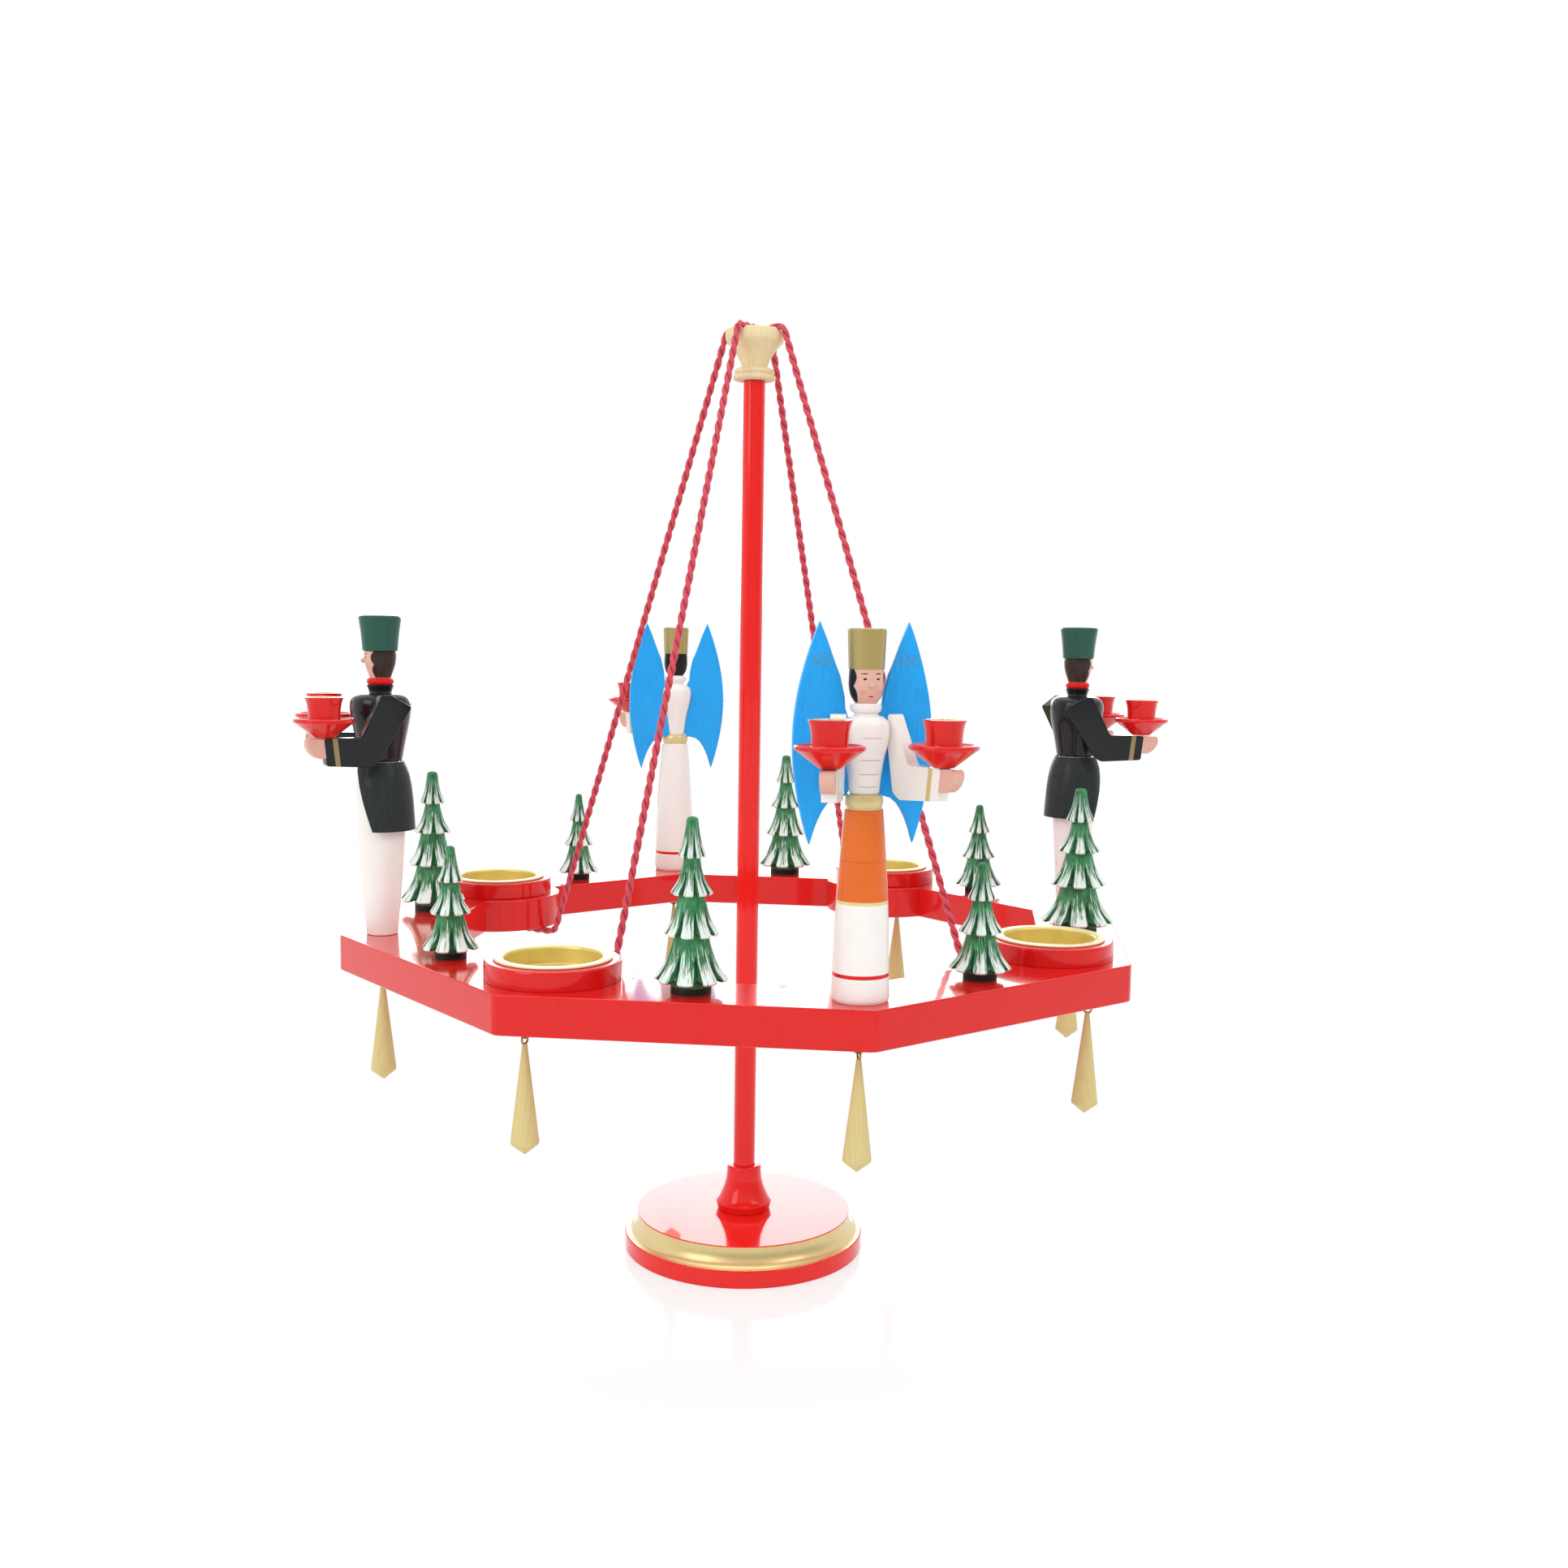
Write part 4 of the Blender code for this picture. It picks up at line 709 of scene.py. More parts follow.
for corner in (1, 3, 5, 7):
    place = on_ring(math.pi / 4 * corner, LOBE_REACH, HOLDER_SEAT)
    holder_shape = turned_shape(holder_rings, steps=96, crisp=0.0, closed=True)
    holder_name = "tealight_holder_" + CORNERS[corner]
    show_piece(
        settle(holder_shape, holder_name + "_disc", place), holder_name + "_disc", "wreath", holder_name,
        [red_finish], 30.0,
    )
    cup_shape = turned_shape(
        [[(0, 0.3), (20.4, 0.3)], [(21.1, 0.9)], [(21.1, 8.0)], [(21.6, 8.12), (24.9, 8.12)],
         [(25.1, 8.7), (24.6, 9.2)], [(22.0, 9.1), (20.9, 8.7), (20.5, 7.9)], [(20.5, 1.6)],
         [(20.2, 1.1), (19.5, 0.9)], [(0, 0.9)]],
        steps=96, crisp=0.0,
    )
    cup_name = "tealight_cup_" + CORNERS[corner]
    show_piece(
        settle(cup_shape, cup_name + "_spun", place), cup_name + "_spun", "cup_" + CORNERS[corner], cup_name,
        [brass_finish], 40.0,
    )

# Drops: slim cones of bare limewood, turned to a blunt point, each with a wire loop in its tip that
# hangs in the eye of the ring.
DROP_PIVOT = 0.1468
DROP_LOOP_RADIUS = 0.0019
DROP_LOOP_DIP = 0.0006
drop_wood = bare_wood("drop_limewood", (220, 204, 142), (194, 174, 106), 0.14)
for corner in range(8):
    place = on_ring(math.pi / 4 * corner, EYE_REACH, DROP_PIVOT)
    cone = turned_shape(
        [[(0, -49.0), (0.5, -48.9)], [(5.7, -44.6)], [(5.95, -44.0), (5.85, -43.0)], [(1.0, -2.4)],
         [(0.6, -2.0), (0, -2.0)]],
        steps=48, crisp=0.00015,
    )
    loop = wire_loop(DROP_LOOP_RADIUS, WIRE_RADIUS, "X")
    bmesh.ops.translate(loop, verts=loop.verts, vec=(0, 0, -DROP_LOOP_DIP))
    drop_name = "drop_" + CORNERS[corner]
    drop_mesh = glue_up(drop_name, [settle(cone, "cone", place), settle(loop, "loop", place, 1)])
    show_piece(
        drop_mesh, drop_name + "_cone", "drop_body_" + CORNERS[corner], drop_name,
        [drop_wood, wire_finish],
    )

# Fir trees: turned cones whose tiers are gouged all round into eight lobes, stained green, with white
# paint dry-brushed down the lobes. The large ones have four tiers and the small ones three, and their
# girths differ a little.
TREE_SEAT = 0.1690
TREE_REACH = 0.16514
TREE_LOBES = 8
TREE_GIRTHS = (1.0, 1.07, 1.0, 0.94, 0.88, 1.0, 0.97, 0.90)
# The foot is turned wide, over half the lowest tier's radius, to carry the painted shade under that tier.
TREE_FOOT_SHARE = 0.55
TREE_FOOT_LOW = -0.25
TREE_GOUGE_DEPTH = 0.17
TREE_GOUGE_LIFT = 0.09
TREE_LOBE_SWELL = 0.035
LARGE_TREE_HEIGHT = 70.9
LARGE_TREE_TIERS = (
    (16.8, 4.4, 8.2, 21.45), (12.5, 23.0, 6.1, 38.6), (9.6, 39.7, 3.8, 53.6), (6.3, 54.8, 2.6, 70.4),
)
SMALL_TREE_HEIGHT = 49.0
SMALL_TREE_TIERS = ((13.2, 3.4, 6.2, 18.4), (9.4, 19.3, 3.9, 32.8), (5.9, 33.5, 2.0, 48.4))

tree_finish, tree_shader, start = start_finish("fir_green_and_snow")
own = own_place(start)
carve = start.node("ShaderNodeAttribute", {"attribute_name": "carve"}, output=1)
tier_share, gouge_share = (carve.part(axis) for axis in range(2))
level_off = own.node("ShaderNodeVectorMath", {"operation": "MULTIPLY"}, {0: own, 1: (1.0, 1.0, 0.0)})
outwards = own.node("ShaderNodeVectorMath", {"operation": "NORMALIZE"}, {0: level_off})
slow_rise = own.node("ShaderNodeVectorMath", {"operation": "MULTIPLY"}, {0: own, 1: (0.0, 0.0, 9.0)})
brush_way = own.node("ShaderNodeVectorMath", {"operation": "ADD"}, {0: outwards, 1: slow_rise})
brush = brush_way.noise(9.0, 3.0)
bristle = brush_way.noise(28.0, 3.0)
stain = own.noise(260.0, 4.0)
green = lay_over(stain.rises(0.35, 0.70), (28, 100, 56), (54, 146, 86))
green = lay_over(bristle.rises(0.45, 0.65) * 0.4, green, (88, 166, 116))
gouged = gouge_share.rises(0.06, 0.28)
# Painted shade: the gouges are painted darker green, as the shade in the recesses; the same mask also keeps
# the white paint out of them.
green = lay_over(gouged * 0.85, green, (22, 82, 46))
snow_reach = tier_share * 0.85 - gouged * 0.8 + (brush - 0.5) * 1.9 + (bristle - 0.5) * 1.6
snow = snow_reach.rises(0.28, 0.68)
tree_colour = lay_over(snow * 0.95, green, (236, 246, 240))
# Painted shade: the foot, below 3 mm, is painted near-black as the shade under the lowest tier.
tree_colour = lay_over(1 - own.part(2).rises(0.0022, 0.0030), tree_colour, (22, 34, 24))
connect(tree_shader, "Base Color", tree_colour)
connect(tree_shader, "Roughness", 0.30 + 0.30 * stain)
tree_shader.inputs["Specular IOR Level"].default_value = 0.35
add_relief(tree_shader, bristle * 0.5 + snow * 0.8 + stain * 0.4, 0.8, 0.00015)


def fir_tree(name, tiers, girth, height, place):
    """Stacked flared tiers: (edge radius, edge height, neck radius, neck height) in millimetres. Each rim
    is then cut by V-shaped gouges that run out towards the neck. Girth widens the whole tree."""
    tiers = [(edge * girth, level, neck * girth, top) for edge, level, neck, top in tiers]
    foot = TREE_FOOT_SHARE * tiers[0][0]
    runs = [[(0, TREE_FOOT_LOW), (foot, TREE_FOOT_LOW)]]
    below = foot
    for edge, level, neck, top in tiers:
        rise = top - level
        spread = edge - neck
        runs.append([(below, level + 0.16 * rise)])
        runs.append([(edge * 0.94, level + 0.015 * rise)])
        runs.append([
            (edge, level + 0.06 * rise), (edge * 0.94, level + 0.14 * rise),
            (neck + spread * 0.58, level + 0.32 * rise), (neck + spread * 0.36, level + 0.50 * rise),
            (neck + spread * 0.12, level + 0.78 * rise), (neck, top),
        ])
        below = neck
    runs.append([(below * 0.7, height + 0.3), (0, height + 0.7)])
    bm = turned_shape(runs, steps=16 * TREE_LOBES, crisp=0.0)
    carve_layer = bm.verts.layers.float_vector.new("carve")
    inner = foot
    for edge, low, neck, top in tiers:
        rise = top - low
        for spot in bm.verts:
            level = spot.co.z * 1000
            reach = math.hypot(spot.co.x, spot.co.y) * 1000
            share = 1 - (level - low) / rise
            if not low - 0.01 <= level < top or (share > 0.8 and reach < inner + 0.6):
                continue
            turn = math.atan2(spot.co.y, spot.co.x) / math.tau * TREE_LOBES
            off_gouge = abs(turn % 1.0 - 0.5)
            gouge = max(0.0, 1 - off_gouge / (0.05 + 0.18 * share))
            deep = min(1.0, max(0.0, (share - 0.22) / 0.6))
            cut = TREE_GOUGE_DEPTH * edge * gouge * deep
            sink = TREE_LOBE_SWELL * edge * deep * (1 - math.cos(math.tau * (turn % 1.0)))
            scale = (reach - cut - sink) / max(reach, 0.01)
            spot.co.x *= scale
            spot.co.y *= scale
            spot.co.z += TREE_GOUGE_LIFT * rise * gouge * share * share / 1000
            spot[carve_layer] = (share, gouge * deep, 0.0)
        inner = neck
    return settle(bm, name, place)


for side in range(8):
    if side % 2 == 1:
        kind, tiers, height = "tree_large", LARGE_TREE_TIERS, LARGE_TREE_HEIGHT
    else:
        kind, tiers, height = "tree_small", SMALL_TREE_TIERS, SMALL_TREE_HEIGHT
    node_name = f"{kind}_{side // 2 + 1}"
    place = on_ring(HALF_SIDE * (2 * side + 1), TREE_REACH, TREE_SEAT)
    tree = fir_tree(node_name + "_carved", tiers, TREE_GIRTHS[side], height, place)
    show_piece(tree, node_name + "_carved", "wreath", node_name, [tree_finish], 50.0)

# Candle bowls: a turned drip dish with a flared cup on it, lacquered red outside, with the candle's bore
# and the rim left as bare wood. The same bowl stands on every hand of the four figures.


def bowl_paint(x, y, z, grain):
    """Red outside, and bare wood in the bore and on the rim."""
    reach = (x * x + y * y).apply("SQRT")
    bore = (1 - reach.rises(6.78, 6.86)) * z.rises(10.3, 10.5)
    rim = (1 - reach.rises(8.05, 8.2)) * z.rises(18.22, 18.3)
    bare = lay_over(grain.rises(0.35, 0.7), (240, 222, 176), (206, 178, 124))
    return lay_over(bore.apply("MAXIMUM", rim), plain_red(x, y, z, grain), bare)


bowl_finish = painted_wood("candle_bowl_paint", bowl_paint, roughness=0.20)[0]


def candle_bowl(name, place):
    shape = turned_shape(
        [[(0, 0), (4.3, 0)], [(8.6, 3.3), (12.7, 6.5)], [(13.6, 7.2), (13.6, 8.3), (12.9, 8.8)],
         [(11.2, 7.9), (9.0, 7.5), (7.7, 7.8)], [(7.2, 8.5), (7.15, 10.6)],
         [(7.3, 13.0), (7.75, 15.8), (8.5, 18.1)], [(8.3, 18.4)], [(6.9, 18.4)], [(6.6, 18.1)],
         [(6.6, 10.8)], [(0, 10.8)]],
        steps=64, crisp=0.00012,
    )
    return settle(shape, name, place)

# Arms and hands: the arms are sawn flat from board, rounded at the edges and glued to the sides of the
# torsos, with a gold band painted on at the cuff. A rounded hand goes on in front and carries a bowl.
BLACK = (24, 27, 29)
WHITE = (246, 243, 238)
SKIN = (228, 182, 166)
GOLD = (212, 192, 130)
CUFF_GOLD = (150, 134, 88)
ARM_THICKNESS = 6.0
ARM_DROP = 0.0021
HAND_THICKNESS = 5.6
BOWL_ON_HAND = (0.0275, 0, 0.0142)


def plain_white(x, y, z, grain):
    return lay_over(grain * 0.10, WHITE, (236, 230, 222))


def plain_black(x, y, z, grain):
    return lay_over(grain.rises(0.4, 0.7) * 0.25, BLACK, (36, 40, 42))


def plain_skin(x, y, z, grain):
    return lay_over(grain * 0.25, SKIN, (214, 150, 132))


def sleeve_paint(cloth, band_colour):
    """The cloth's colour with a gold band across the cuff, parallel to the slanting cuff end."""
    def paint(x, y, z, grain):
        band = (x - z * 0.11).within(20.9, 23.2, 0.10) * (1 - z.rises(14.2, 15.0))
        return lay_over(band, cloth(x, y, z, grain), band_colour)
    return paint


skin_finish = painted_wood("skin_coloured_paint", plain_skin, 0.36, 0.2, 0.12)[0]
black_sleeve_paint = sleeve_paint(plain_black, CUFF_GOLD)
black_sleeve = painted_wood("black_sleeve_paint", black_sleeve_paint, 0.24, 0.8, 0.08, 0.2)[0]
white_sleeve_paint = sleeve_paint(plain_white, GOLD)
white_sleeve = painted_wood("white_sleeve_paint", white_sleeve_paint, 0.22, 0.6, 0.06)[0]


def side_board(outline, thickness, corner, edge):
    """A flat piece sawn to an outline of (forward, up) points in millimetres, with rounded corners."""
    bm = bmesh.new()
    verts = [bm.verts.new((a / 1000, -thickness / 2000, z / 1000)) for a, z in outline]
    bm.faces.new(verts)
    if corner > 0:
        bmesh.ops.bevel(
            bm, geom=bm.verts[:], offset=corner / 1000, offset_type="OFFSET", segments=4, profile=0.5,
            affect="VERTICES", material=-1, clamp_overlap=True,
        )
    raised = bmesh.ops.extrude_face_region(bm, geom=bm.faces[:])
    tops = [v for v in raised["geom"] if isinstance(v, bmesh.types.BMVert)]
    bmesh.ops.translate(bm, verts=tops, vec=(0, thickness / 1000, 0))
    bmesh.ops.recalc_face_normals(bm, faces=bm.faces)
    rims = [
        e for e in bm.edges
        if e.is_manifold and e.calc_face_angle() > 1.2 and abs(e.verts[0].co.y - e.verts[1].co.y) < 1e-5
    ]
    bmesh.ops.bevel(
        bm, geom=rims, offset=edge / 1000, offset_type="OFFSET", segments=3, profile=0.5,
        affect="EDGES", material=-1, clamp_overlap=True,
    )
    return bm


def show_part(figure, part, make, mesh, finishes, smooth_angle=40.0):
    """Show one part of a figure, named after the figure, the part and the way it is made."""
    node = f"{figure}_{part}"
    show_piece(mesh, f"{node}_{make}", "wreath", node, finishes, smooth_angle)


def arm_and_bowl(figure, side, offset, setback, shoulder_back, toe, torso_place):
    """One arm with its hand, in the torso's frame, and the bowl that stands on the hand."""
    turn = Matrix.Rotation(-math.pi / 2 + side * math.radians(toe), 4, "Z")
    place = torso_place @ Matrix.Translation((side * offset, setback, -ARM_DROP)) @ turn
    arm = side_board(
        [(1.7, 33.5), (-shoulder_back * 0.22, 33.5), (-shoulder_back, 27.5), (2.85, 2.85), (6.6, 0),
         (27.4, 1.2), (28.8, 13.9), (11.1, 13.9)],
        ARM_THICKNESS, 1.2, 0.7,
    )
    hand = side_board(
        [(24.5, 13.7), (24.5, 5.4), (30.4, 4.4), (34.0, 6.6), (36.2, 10.4), (35.8, 13.7)],
        HAND_THICKNESS, 2.0, 1.7,
    )
    bowl = "bowl_left" if side > 0 else "bowl_right"
    bowl_place = place @ Matrix.Translation(BOWL_ON_HAND)
    bowl_mesh = candle_bowl(f"{figure}_{bowl}", bowl_place)
    show_part(figure, bowl, "turned", bowl_mesh, [bowl_finish], 35.0)
    return [settle(arm, "arm", place, 1), settle(hand, "hand", place, 2)]

# Heads: turned, with a small peg glued on for a nose. Eyes, brows, mouth and cheeks are painted on the
# skin-coloured coat, and the hair behind them.


def peg_nose(reach, level, place):
    """The small glued peg that makes a nose; it keeps the head's coordinates, and so its paint."""
    outline = [[(0, 0), (1.1, 0)], [(1.1, 2.0), (0.8, 2.7), (0, 3.0)]]
    peg = turned_shape(outline, steps=24, crisp=0.0)
    at_front = Matrix.Translation((0, -reach / 1000, level / 1000)) @ Matrix.Rotation(math.pi / 2, 4, "X")
    bmesh.ops.transform(peg, matrix=at_front, verts=peg.verts)
    return settle(peg, "nose", place)


def spot_on_face(x, y, z, at_x, at_z, wide, tall):
    """A painted spot on the front of a head, on both sides of the nose."""
    off_x = (x.apply("ABSOLUTE") - at_x) / wide
    off_z = (z - at_z) / tall
    return (1 - (off_x * off_x + off_z * off_z).rises(0.7, 1.2)) * (1 - y.rises(-1.0, 0.0))


def face_and_hair(x, y, z, hair_low, head_top, levels, hair_colour):
    """Skin in front and hair behind, whose front edge has two round lobes on each side. The levels of
    brow, eye, cheek and mouth are shares of the face's height."""
    face_height = head_top - hair_low
    brow_level, eye_level, cheek_level, mouth_level = (hair_low + face_height * share for share in levels)
    from_front = x.apply("ABSOLUTE").apply("ARCTAN2", y * -1.0) * (180 / math.pi)
    lobes = ((z - hair_low) * (math.tau / face_height)).apply("SINE").apply("ABSOLUTE")
    hair = (from_front + lobes * 12.0).rises(62.0, 65.0) * z.rises(hair_low, hair_low + 0.2)
    brow = spot_on_face(x, y, z, 2.8, brow_level, 1.4, 0.24)
    eye = spot_on_face(x, y, z, 2.7, eye_level, 0.7, 0.45)
    cheek = spot_on_face(x, y, z, 3.2, cheek_level, 1.2, 1.0)
    mouth = spot_on_face(x, y, z, 0.0, mouth_level, 1.1, 0.30)
    face = lay_over(cheek * 0.35, SKIN, (226, 120, 104))
    face = lay_over(mouth, face, (190, 60, 56))
    face = lay_over(brow.apply("MAXIMUM", eye), face, (40, 30, 28))
    return lay_over(hair, face, hair_colour)

# Miners: turned in white, black and green lacquer. The coat's tail is a separate carved shell round the
# trousers, the head stands on a red ring turned in one with it, and the shako stands on the head.
FIGURE_SEAT = 0.1690
FIGURE_REACH = 0.1800
WAIST = 0.0829
NECK = 0.0358
MINER_HEAD_TOP = 0.0157
COAT_BLACK = (44, 50, 49)
HAIR = (58, 44, 38)
HAT_GREEN = (42, 86, 74)
COAT_FRONT_HIGH = Vector((0.0026, -0.0102, 0.0825))
COAT_FRONT_LOW = Vector((0.0150, -0.0046, 0.0500))
COAT_THICKNESS = 0.0024


def satin_black(x, y, z, grain):
    return lay_over(grain.rises(0.4, 0.7) * 0.4, COAT_BLACK, (58, 64, 62))


def plain_green(x, y, z, grain):
    return lay_over(grain.rises(0.4, 0.7) * 0.5, HAT_GREEN, (48, 96, 82))


def miner_head_paint(x, y, z, grain):
    head = face_and_hair(x, y, z, 2.9, 15.4, (0.88, 0.76, 0.48, 0.32), HAIR)
    return lay_over(1 - z.rises(2.85, 3.0), head, RED)


white_finish = painted_wood("white_lacquer_paint", plain_white, 0.22, 0.6, 0.06)[0]
black_finish = painted_wood("black_lacquer_paint", plain_black, 0.20, 0.9, 0.10, 0.2)[0]
coat_finish = painted_wood("satin_coat_paint", satin_black, 0.40, 0.25, 0.20)[0]
miner_head_finish = painted_wood("miner_head_paint", miner_head_paint, 0.28, 0.4, 0.10)[0]
hat_finish = painted_wood("green_hat_paint", plain_green, 0.26, 0.5, 0.25)[0]


def coat_tail(name, place):
    """Half of the shell is spun and cut along its slanting front, then mirrored and thickened."""
    bm = bmesh.new()
    outline = [
        (15.7, 50.0), (15.3, 57.0), (14.75, 65.0), (14.0, 71.0), (13.0, 76.0), (11.8, 79.6), (10.6, 82.2),
    ]
    verts = [bm.verts.new((0, r / 1000, z / 1000)) for r, z in outline]
    edges = [bm.edges.new(pair) for pair in zip(verts, verts[1:])]
    bmesh.ops.spin(bm, geom=verts + edges, cent=(0, 0, 0), axis=(0, 0, -1), angle=math.pi, steps=48)
    normal = (COAT_FRONT_LOW - COAT_FRONT_HIGH).cross(Vector((0.8, -0.6, 0.0))).normalized()
    if normal.dot(Vector((0, -1, 0))) < 0:
        normal.negate()
    bmesh.ops.bisect_plane(
        bm, geom=bm.verts[:] + bm.edges[:] + bm.faces[:], plane_co=COAT_FRONT_HIGH, plane_no=normal,
        clear_outer=True,
    )
    bmesh.ops.mirror(bm, geom=bm.verts[:] + bm.edges[:] + bm.faces[:], axis="X", merge_dist=1e-5)
    bmesh.ops.remove_doubles(bm, verts=bm.verts, dist=1e-6)
    bmesh.ops.recalc_face_normals(bm, faces=bm.faces)
    outwards = sum(face.normal.xy.dot(face.calc_center_median().xy) for face in bm.faces)
    if outwards < 0:
        bmesh.ops.reverse_faces(bm, faces=bm.faces[:])
    bmesh.ops.solidify(bm, geom=bm.faces[:], thickness=COAT_THICKNESS)
    bmesh.ops.recalc_face_normals(bm, faces=bm.faces)
    break_edges(bm, 0.0004, 50.0)
    return settle(bm, name, place)


for miner, angle in (("miner_right", math.pi / 2), ("miner_left", -math.pi / 2)):
    place = on_ring(angle, FIGURE_REACH, FIGURE_SEAT)
    trousers = turned_shape(
        [[(0, -0.25), (7.1, -0.25)], [(7.35, 0.1)],
         [(8.3, 12.0), (9.2, 25.0), (10.1, 37.0), (10.9, 50.0), (11.5, 66.0), (10.7, 76.0),
          (8.6, 82.2)], [(8.2, 82.6)], [(0, 82.6)]],
    )
    trousers_mesh = settle(trousers, "trousers", place)
    show_part(miner, "trousers", "turned", trousers_mesh, [white_finish])
    tail_mesh = coat_tail("coat_tail", place)
    show_part(miner, "coat_tail", "carved", tail_mesh, [coat_finish], 45.0)

    torso_place = place @ Matrix.Translation((0, 0, WAIST))
    torso = turned_shape(
        [[(0, -0.3), (9.5, -0.3)], [(9.9, 0.3)],
         [(10.7, 5.0), (11.6, 9.6), (12.7, 15.0), (13.6, 19.8), (14.1, 25.0), (13.3, 28.9),
          (11.0, 30.7), (8.0, 31.4), (5.9, 31.6)], [(5.3, 32.0), (5.6, 33.4), (6.4, 35.3)],
         [(6.2, 35.5)], [(0, 35.5)]],
    )
    torso_parts = [settle(torso, "torso", torso_place)]
    for side in (1, -1):
        torso_parts += arm_and_bowl(miner, side, 0.0158, 0.0008, 12.8, 16.9, torso_place)
    torso_mesh = glue_up(miner + "_torso", torso_parts)
    torso_finishes = [black_finish, black_sleeve, skin_finish]
    show_part(miner, "torso", "turned", torso_mesh, torso_finishes)

    head_place = torso_place @ Matrix.Translation((0, 0, NECK))
    head = turned_shape(
        [[(0, -0.3), (5.5, -0.3)], [(6.0, 0.3), (6.2, 1.3), (6.0, 2.2), (5.3, 2.8)], [(4.9, 3.0)],
         [(5.4, 4.5), (6.3, 7.1), (6.85, 9.0), (7.2, 11.1), (7.35, 13.4), (7.25, 15.1)], [(7.0, 15.4)],
         [(0, 15.4)]],
    )
    head_mesh = glue_up(miner + "_head", [settle(head, "head", head_place), peg_nose(5.9, 10.9, head_place)])
    show_part(miner, "head", "turned", head_mesh, [miner_head_finish])
    hat = turned_shape(
        [[(0, -0.3), (7.8, -0.3)], [(8.1, 0.1)], [(8.4, 4.0), (8.8, 8.0), (9.4, 12.4), (9.75, 14.6)],
         [(9.7, 15.5), (9.1, 16.1), (8.2, 16.3)], [(0, 16.3)]],
    )
    hat_mesh = settle(hat, "hat", head_place @ Matrix.Translation((0, 0, MINER_HEAD_TOP)))
    show_part(miner, "hat", "turned", hat_mesh, [hat_finish])

# Angels: a long white gown with an orange apron painted on it, a slim vase-shaped torso, and a head
# turned in one with its gilt crown. Two thin boards make the wings, glued on behind the shoulders.
ORANGE = (226, 108, 40)
CROWN_GOLD = (184, 164, 104)
BELT_GOLD = (226, 210, 150)
WING_BLUE = (42, 172, 250)
BELT_LEVELS = (76.9, 77.1)
CROWN_LEVELS = (13.0, 13.2)
WING_LOW = 62.4
WING_HIGH = 150.3
WING_THICKNESS = 2.4
WING_SETBACK = 0.0032
WING_CLEARANCE = 0.3
gown_outline = [
    (11.35, 0.4), (11.7, 2.0), (11.4, 9.9), (11.0, 24.0),
    (10.4, 40.0), (9.5, 54.0), (8.6, 66.0), (7.7, 76.6),
]
vase_outline = [
    (6.0, 0.3), (6.6, 6.4), (7.6, 13.0), (8.7, 18.0),
    (9.5, 22.0), (9.7, 24.9), (9.2, 28.0), (7.2, 30.2),
]


def gown_paint(x, y, z, grain):
    front = 1 - (y + x.apply("ABSOLUTE") * 0.02).rises(0.9, 1.1)
    apron = front * z.within(40.4, 76.8, 0.08)
    trim = front * z.within(39.2, 40.5, 0.08)
    # Painted shade: a faint darker band across the front of the apron, as the shade of a pleat.
    fold_shade = front * z.within(56.0, 56.6, 0.15) * 0.35
    # Painted light: the orange is lighter towards the top of the apron.
    cloth = lay_over(z.rises(38.0, 78.0) * 0.35, ORANGE, (240, 132, 60))
    cloth = lay_over(apron, plain_white(x, y, z, grain), cloth)
    cloth = lay_over(fold_shade, cloth, (180, 84, 34))
    cloth = lay_over(trim.apply("MAXIMUM", z.rises(*BELT_LEVELS)), cloth, BELT_GOLD)
    return lay_over(z.within(9.95, 11.5, 0.08), cloth, RED)


def angel_torso_paint(x, y, z, grain):
    front = 1 - y.rises(-3.2, -2.6)
    seam = z.within(22.0, 22.4, 0.08)
    for level in (13.2, 7.6, 2.6):
        seam = seam.apply("MAXIMUM", z.within(level, level + 0.4, 0.08))
    near = 1 - x.apply("ABSOLUTE").rises(3.6, 4.2)
    return lay_over(front * seam * near * 0.5, plain_white(x, y, z, grain), (150, 104, 70))


def angel_head_paint(x, y, z, grain):
    head = face_and_hair(x, y, z, 0.0, 13.1, (0.87, 0.71, 0.30, 0.19), (34, 30, 32))
    return lay_over(z.rises(*CROWN_LEVELS), head, CROWN_GOLD)


def wing_paint(x, y, z, grain):
    edge = x.apply("ABSOLUTE")
    ground = lay_over(grain.rises(0.4, 0.75) * 0.3, WING_BLUE, (40, 144, 230))
    curl = (edge * 1.05).apply("SINE")
    stroke = (z + curl * 1.5).within(135.6, 136.4, 0.25)
    stroke = stroke.apply("MAXIMUM", (z - curl * 1.3).within(135.5, 136.2, 0.25))
    stroke = stroke.apply("MAXIMUM", (z - curl * 0.3).within(133.3, 133.8, 0.25))
    stroke = stroke * (1 - y.rises(2.3, 2.6)) * edge.within(14.0, 22.5, 1.0)
    return lay_over(stroke * 0.55, ground, (112, 120, 110))


gown_finish, gown_shader, height, cloud = painted_wood("gown_paint", gown_paint, 0.22, 0.6, 0.06)
connect(gown_shader, "Metallic", height.rises(*BELT_LEVELS) * 0.3)
angel_torso_finish = painted_wood("angel_torso_paint", angel_torso_paint, 0.22, 0.6, 0.06)[0]
angel_head_finish, head_shader, height, cloud = painted_wood(
    "angel_head_paint", angel_head_paint, 0.28, 0.3, 0.10
)
connect(head_shader, "Metallic", height.rises(*CROWN_LEVELS) * 0.6)
wing_finish = painted_wood("wing_paint", wing_paint, 0.30, 0.3, 0.15)[0]


def body_reach(level):
    """Radius of the angel's turned body at a height, which the wings are cut to, in millimetres."""
    steps = gown_outline + [(7.2, 82.6)] + [(r, z + 82.9) for r, z in vase_outline]
    steps += [(4.8, 113.9), (6.2, 115.3), (6.2, 118.4), (5.2, 119.0)]
    steps += [(6.9, 124.0), (7.1, 131.8), (7.7, 146.0)]
    for (r0, z0), (r1, z1) in zip(steps, steps[1:]):
        if z0 <= level <= z1:
            return r0 + (r1 - r0) * (level - z0) / (z1 - z0)
    return steps[-1][0]


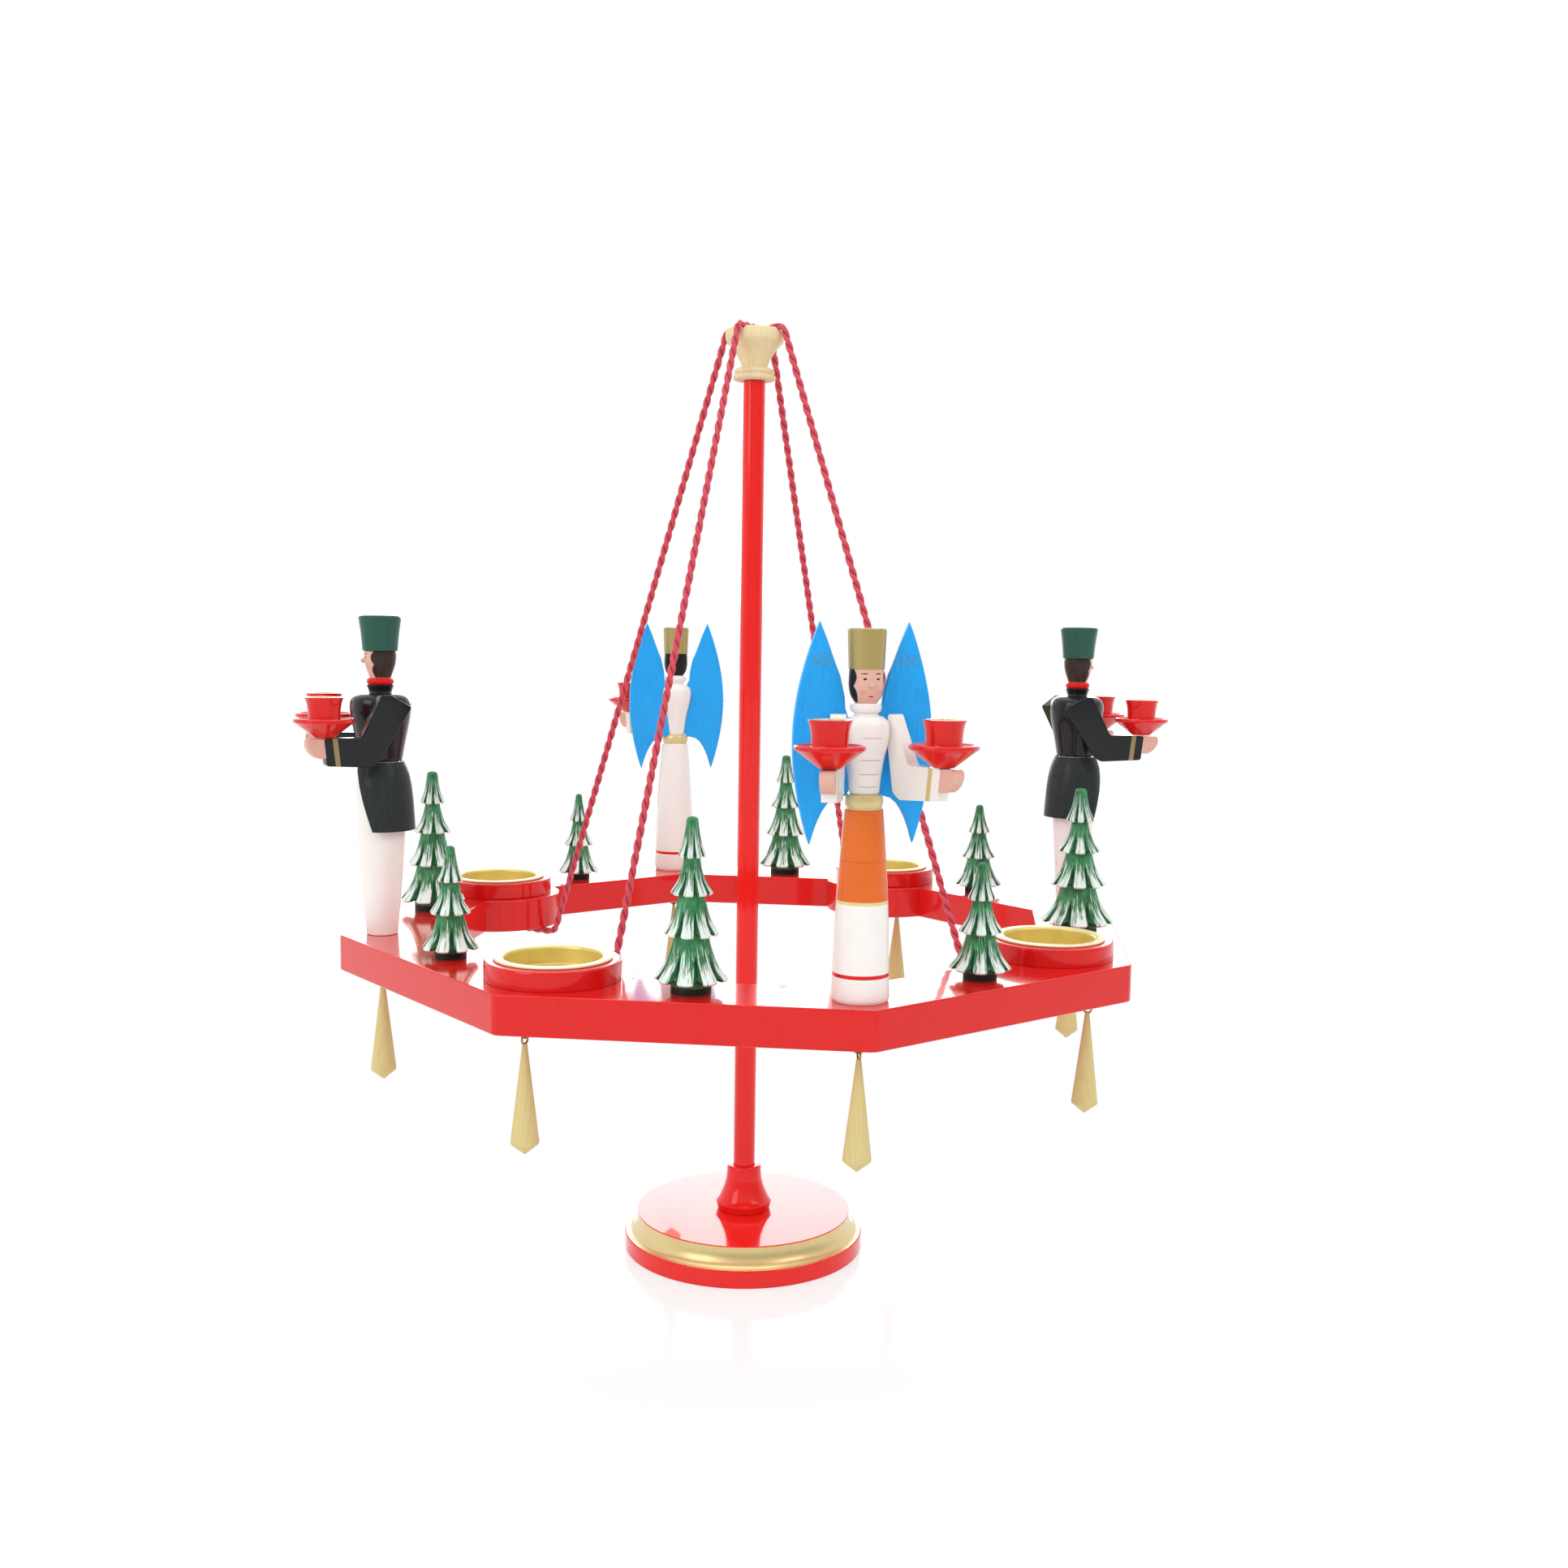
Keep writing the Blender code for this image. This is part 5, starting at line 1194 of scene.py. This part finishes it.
def wing_board(side):
    """One wing, sawn from thin board: bowed outside, with an inner edge that is fitted to the body."""
    outline = []
    for i in range(33):
        t = i / 32
        bow = 8.85 * math.sin(math.pi * t) ** 0.9
        outline.append((21.6 - 3.05 * t + bow, WING_LOW + (WING_HIGH - WING_LOW) * t))
    outline += [(15.5, 143.1), (13.5, 137.7), (11.6, 132.8), (10.0, 129.1), (8.1, 121.1), (7.6, 116.0)]
    outline += [(2.9, 113.2 - 31.6 * i / 24) for i in range(25)]
    outline += [(8.7, 81.4), (12.2, 80.4), (14.6, 78.4), (16.5, 75.7), (18.2, 72.4), (19.6, 68.9)]
    bm = side_board([(side * a, z) for a, z in outline], WING_THICKNESS, 0.0, 0.45)
    bmesh.ops.translate(bm, verts=bm.verts, vec=(0, WING_SETBACK, 0))
    for spot in bm.verts:
        clear = (body_reach(spot.co.z * 1000) + WING_CLEARANCE) / 1000
        least = math.sqrt(max(clear**2 - spot.co.y**2, 0.0))
        if abs(spot.co.x) < least:
            spot.co.x = side * least
    return bm


for angel, angle in (("angel_front", 0.0), ("angel_back", math.pi)):
    place = on_ring(angle, FIGURE_REACH, FIGURE_SEAT)
    gown = turned_shape(
        [[(0, -0.25), (11.1, -0.25)], [(11.35, 0.4)], gown_outline[1:], [(7.0, 77.3)],
         [(7.5, 78.6), (7.6, 80.4), (7.2, 82.2)], [(6.8, 82.6)], [(0, 82.6)]],
    )
    show_part(angel, "gown", "turned", settle(gown, "gown", place), [gown_finish])

    torso_place = place @ Matrix.Translation((0, 0, WAIST))
    torso = turned_shape(
        [[(0, -0.3), (5.7, -0.3)], [(6.0, 0.3)], vase_outline[1:], [(5.4, 30.8), (4.75, 31.2)],
         [(4.7, 31.7)], [(5.9, 32.3)], [(6.25, 33.4), (6.2, 35.1)], [(5.9, 35.5)], [(0, 35.5)]],
    )
    torso_parts = [settle(torso, "torso", torso_place)]
    for side in (1, -1):
        torso_parts += arm_and_bowl(angel, side, 0.0116, -0.0012, 1.6, 24.2, torso_place)
    torso_mesh = glue_up(angel + "_torso", torso_parts)
    torso_finishes = [angel_torso_finish, white_sleeve, skin_finish]
    show_part(angel, "torso", "turned", torso_mesh, torso_finishes)

    head_place = torso_place @ Matrix.Translation((0, 0, NECK))
    head = turned_shape(
        [[(0, -0.3), (4.4, -0.3)],
         [(4.9, 0.6), (6.0, 2.3), (6.6, 4.2), (6.95, 6.4), (7.0, 8.8), (6.85, 12.4)],
         [(6.8, 12.9), (7.1, 13.2)], [(7.7, 28.4)], [(7.3, 29.0)], [(0, 29.1)]],
    )
    head_mesh = glue_up(angel + "_head", [settle(head, "head", head_place), peg_nose(5.4, 6.9, head_place)])
    show_part(angel, "head", "turned", head_mesh, [angel_head_finish])
    for side, wing in ((1, "wing_left"), (-1, "wing_right")):
        wing_mesh = settle(wing_board(side), "wing", place)
        show_part(angel, wing, "board", wing_mesh, [wing_finish])
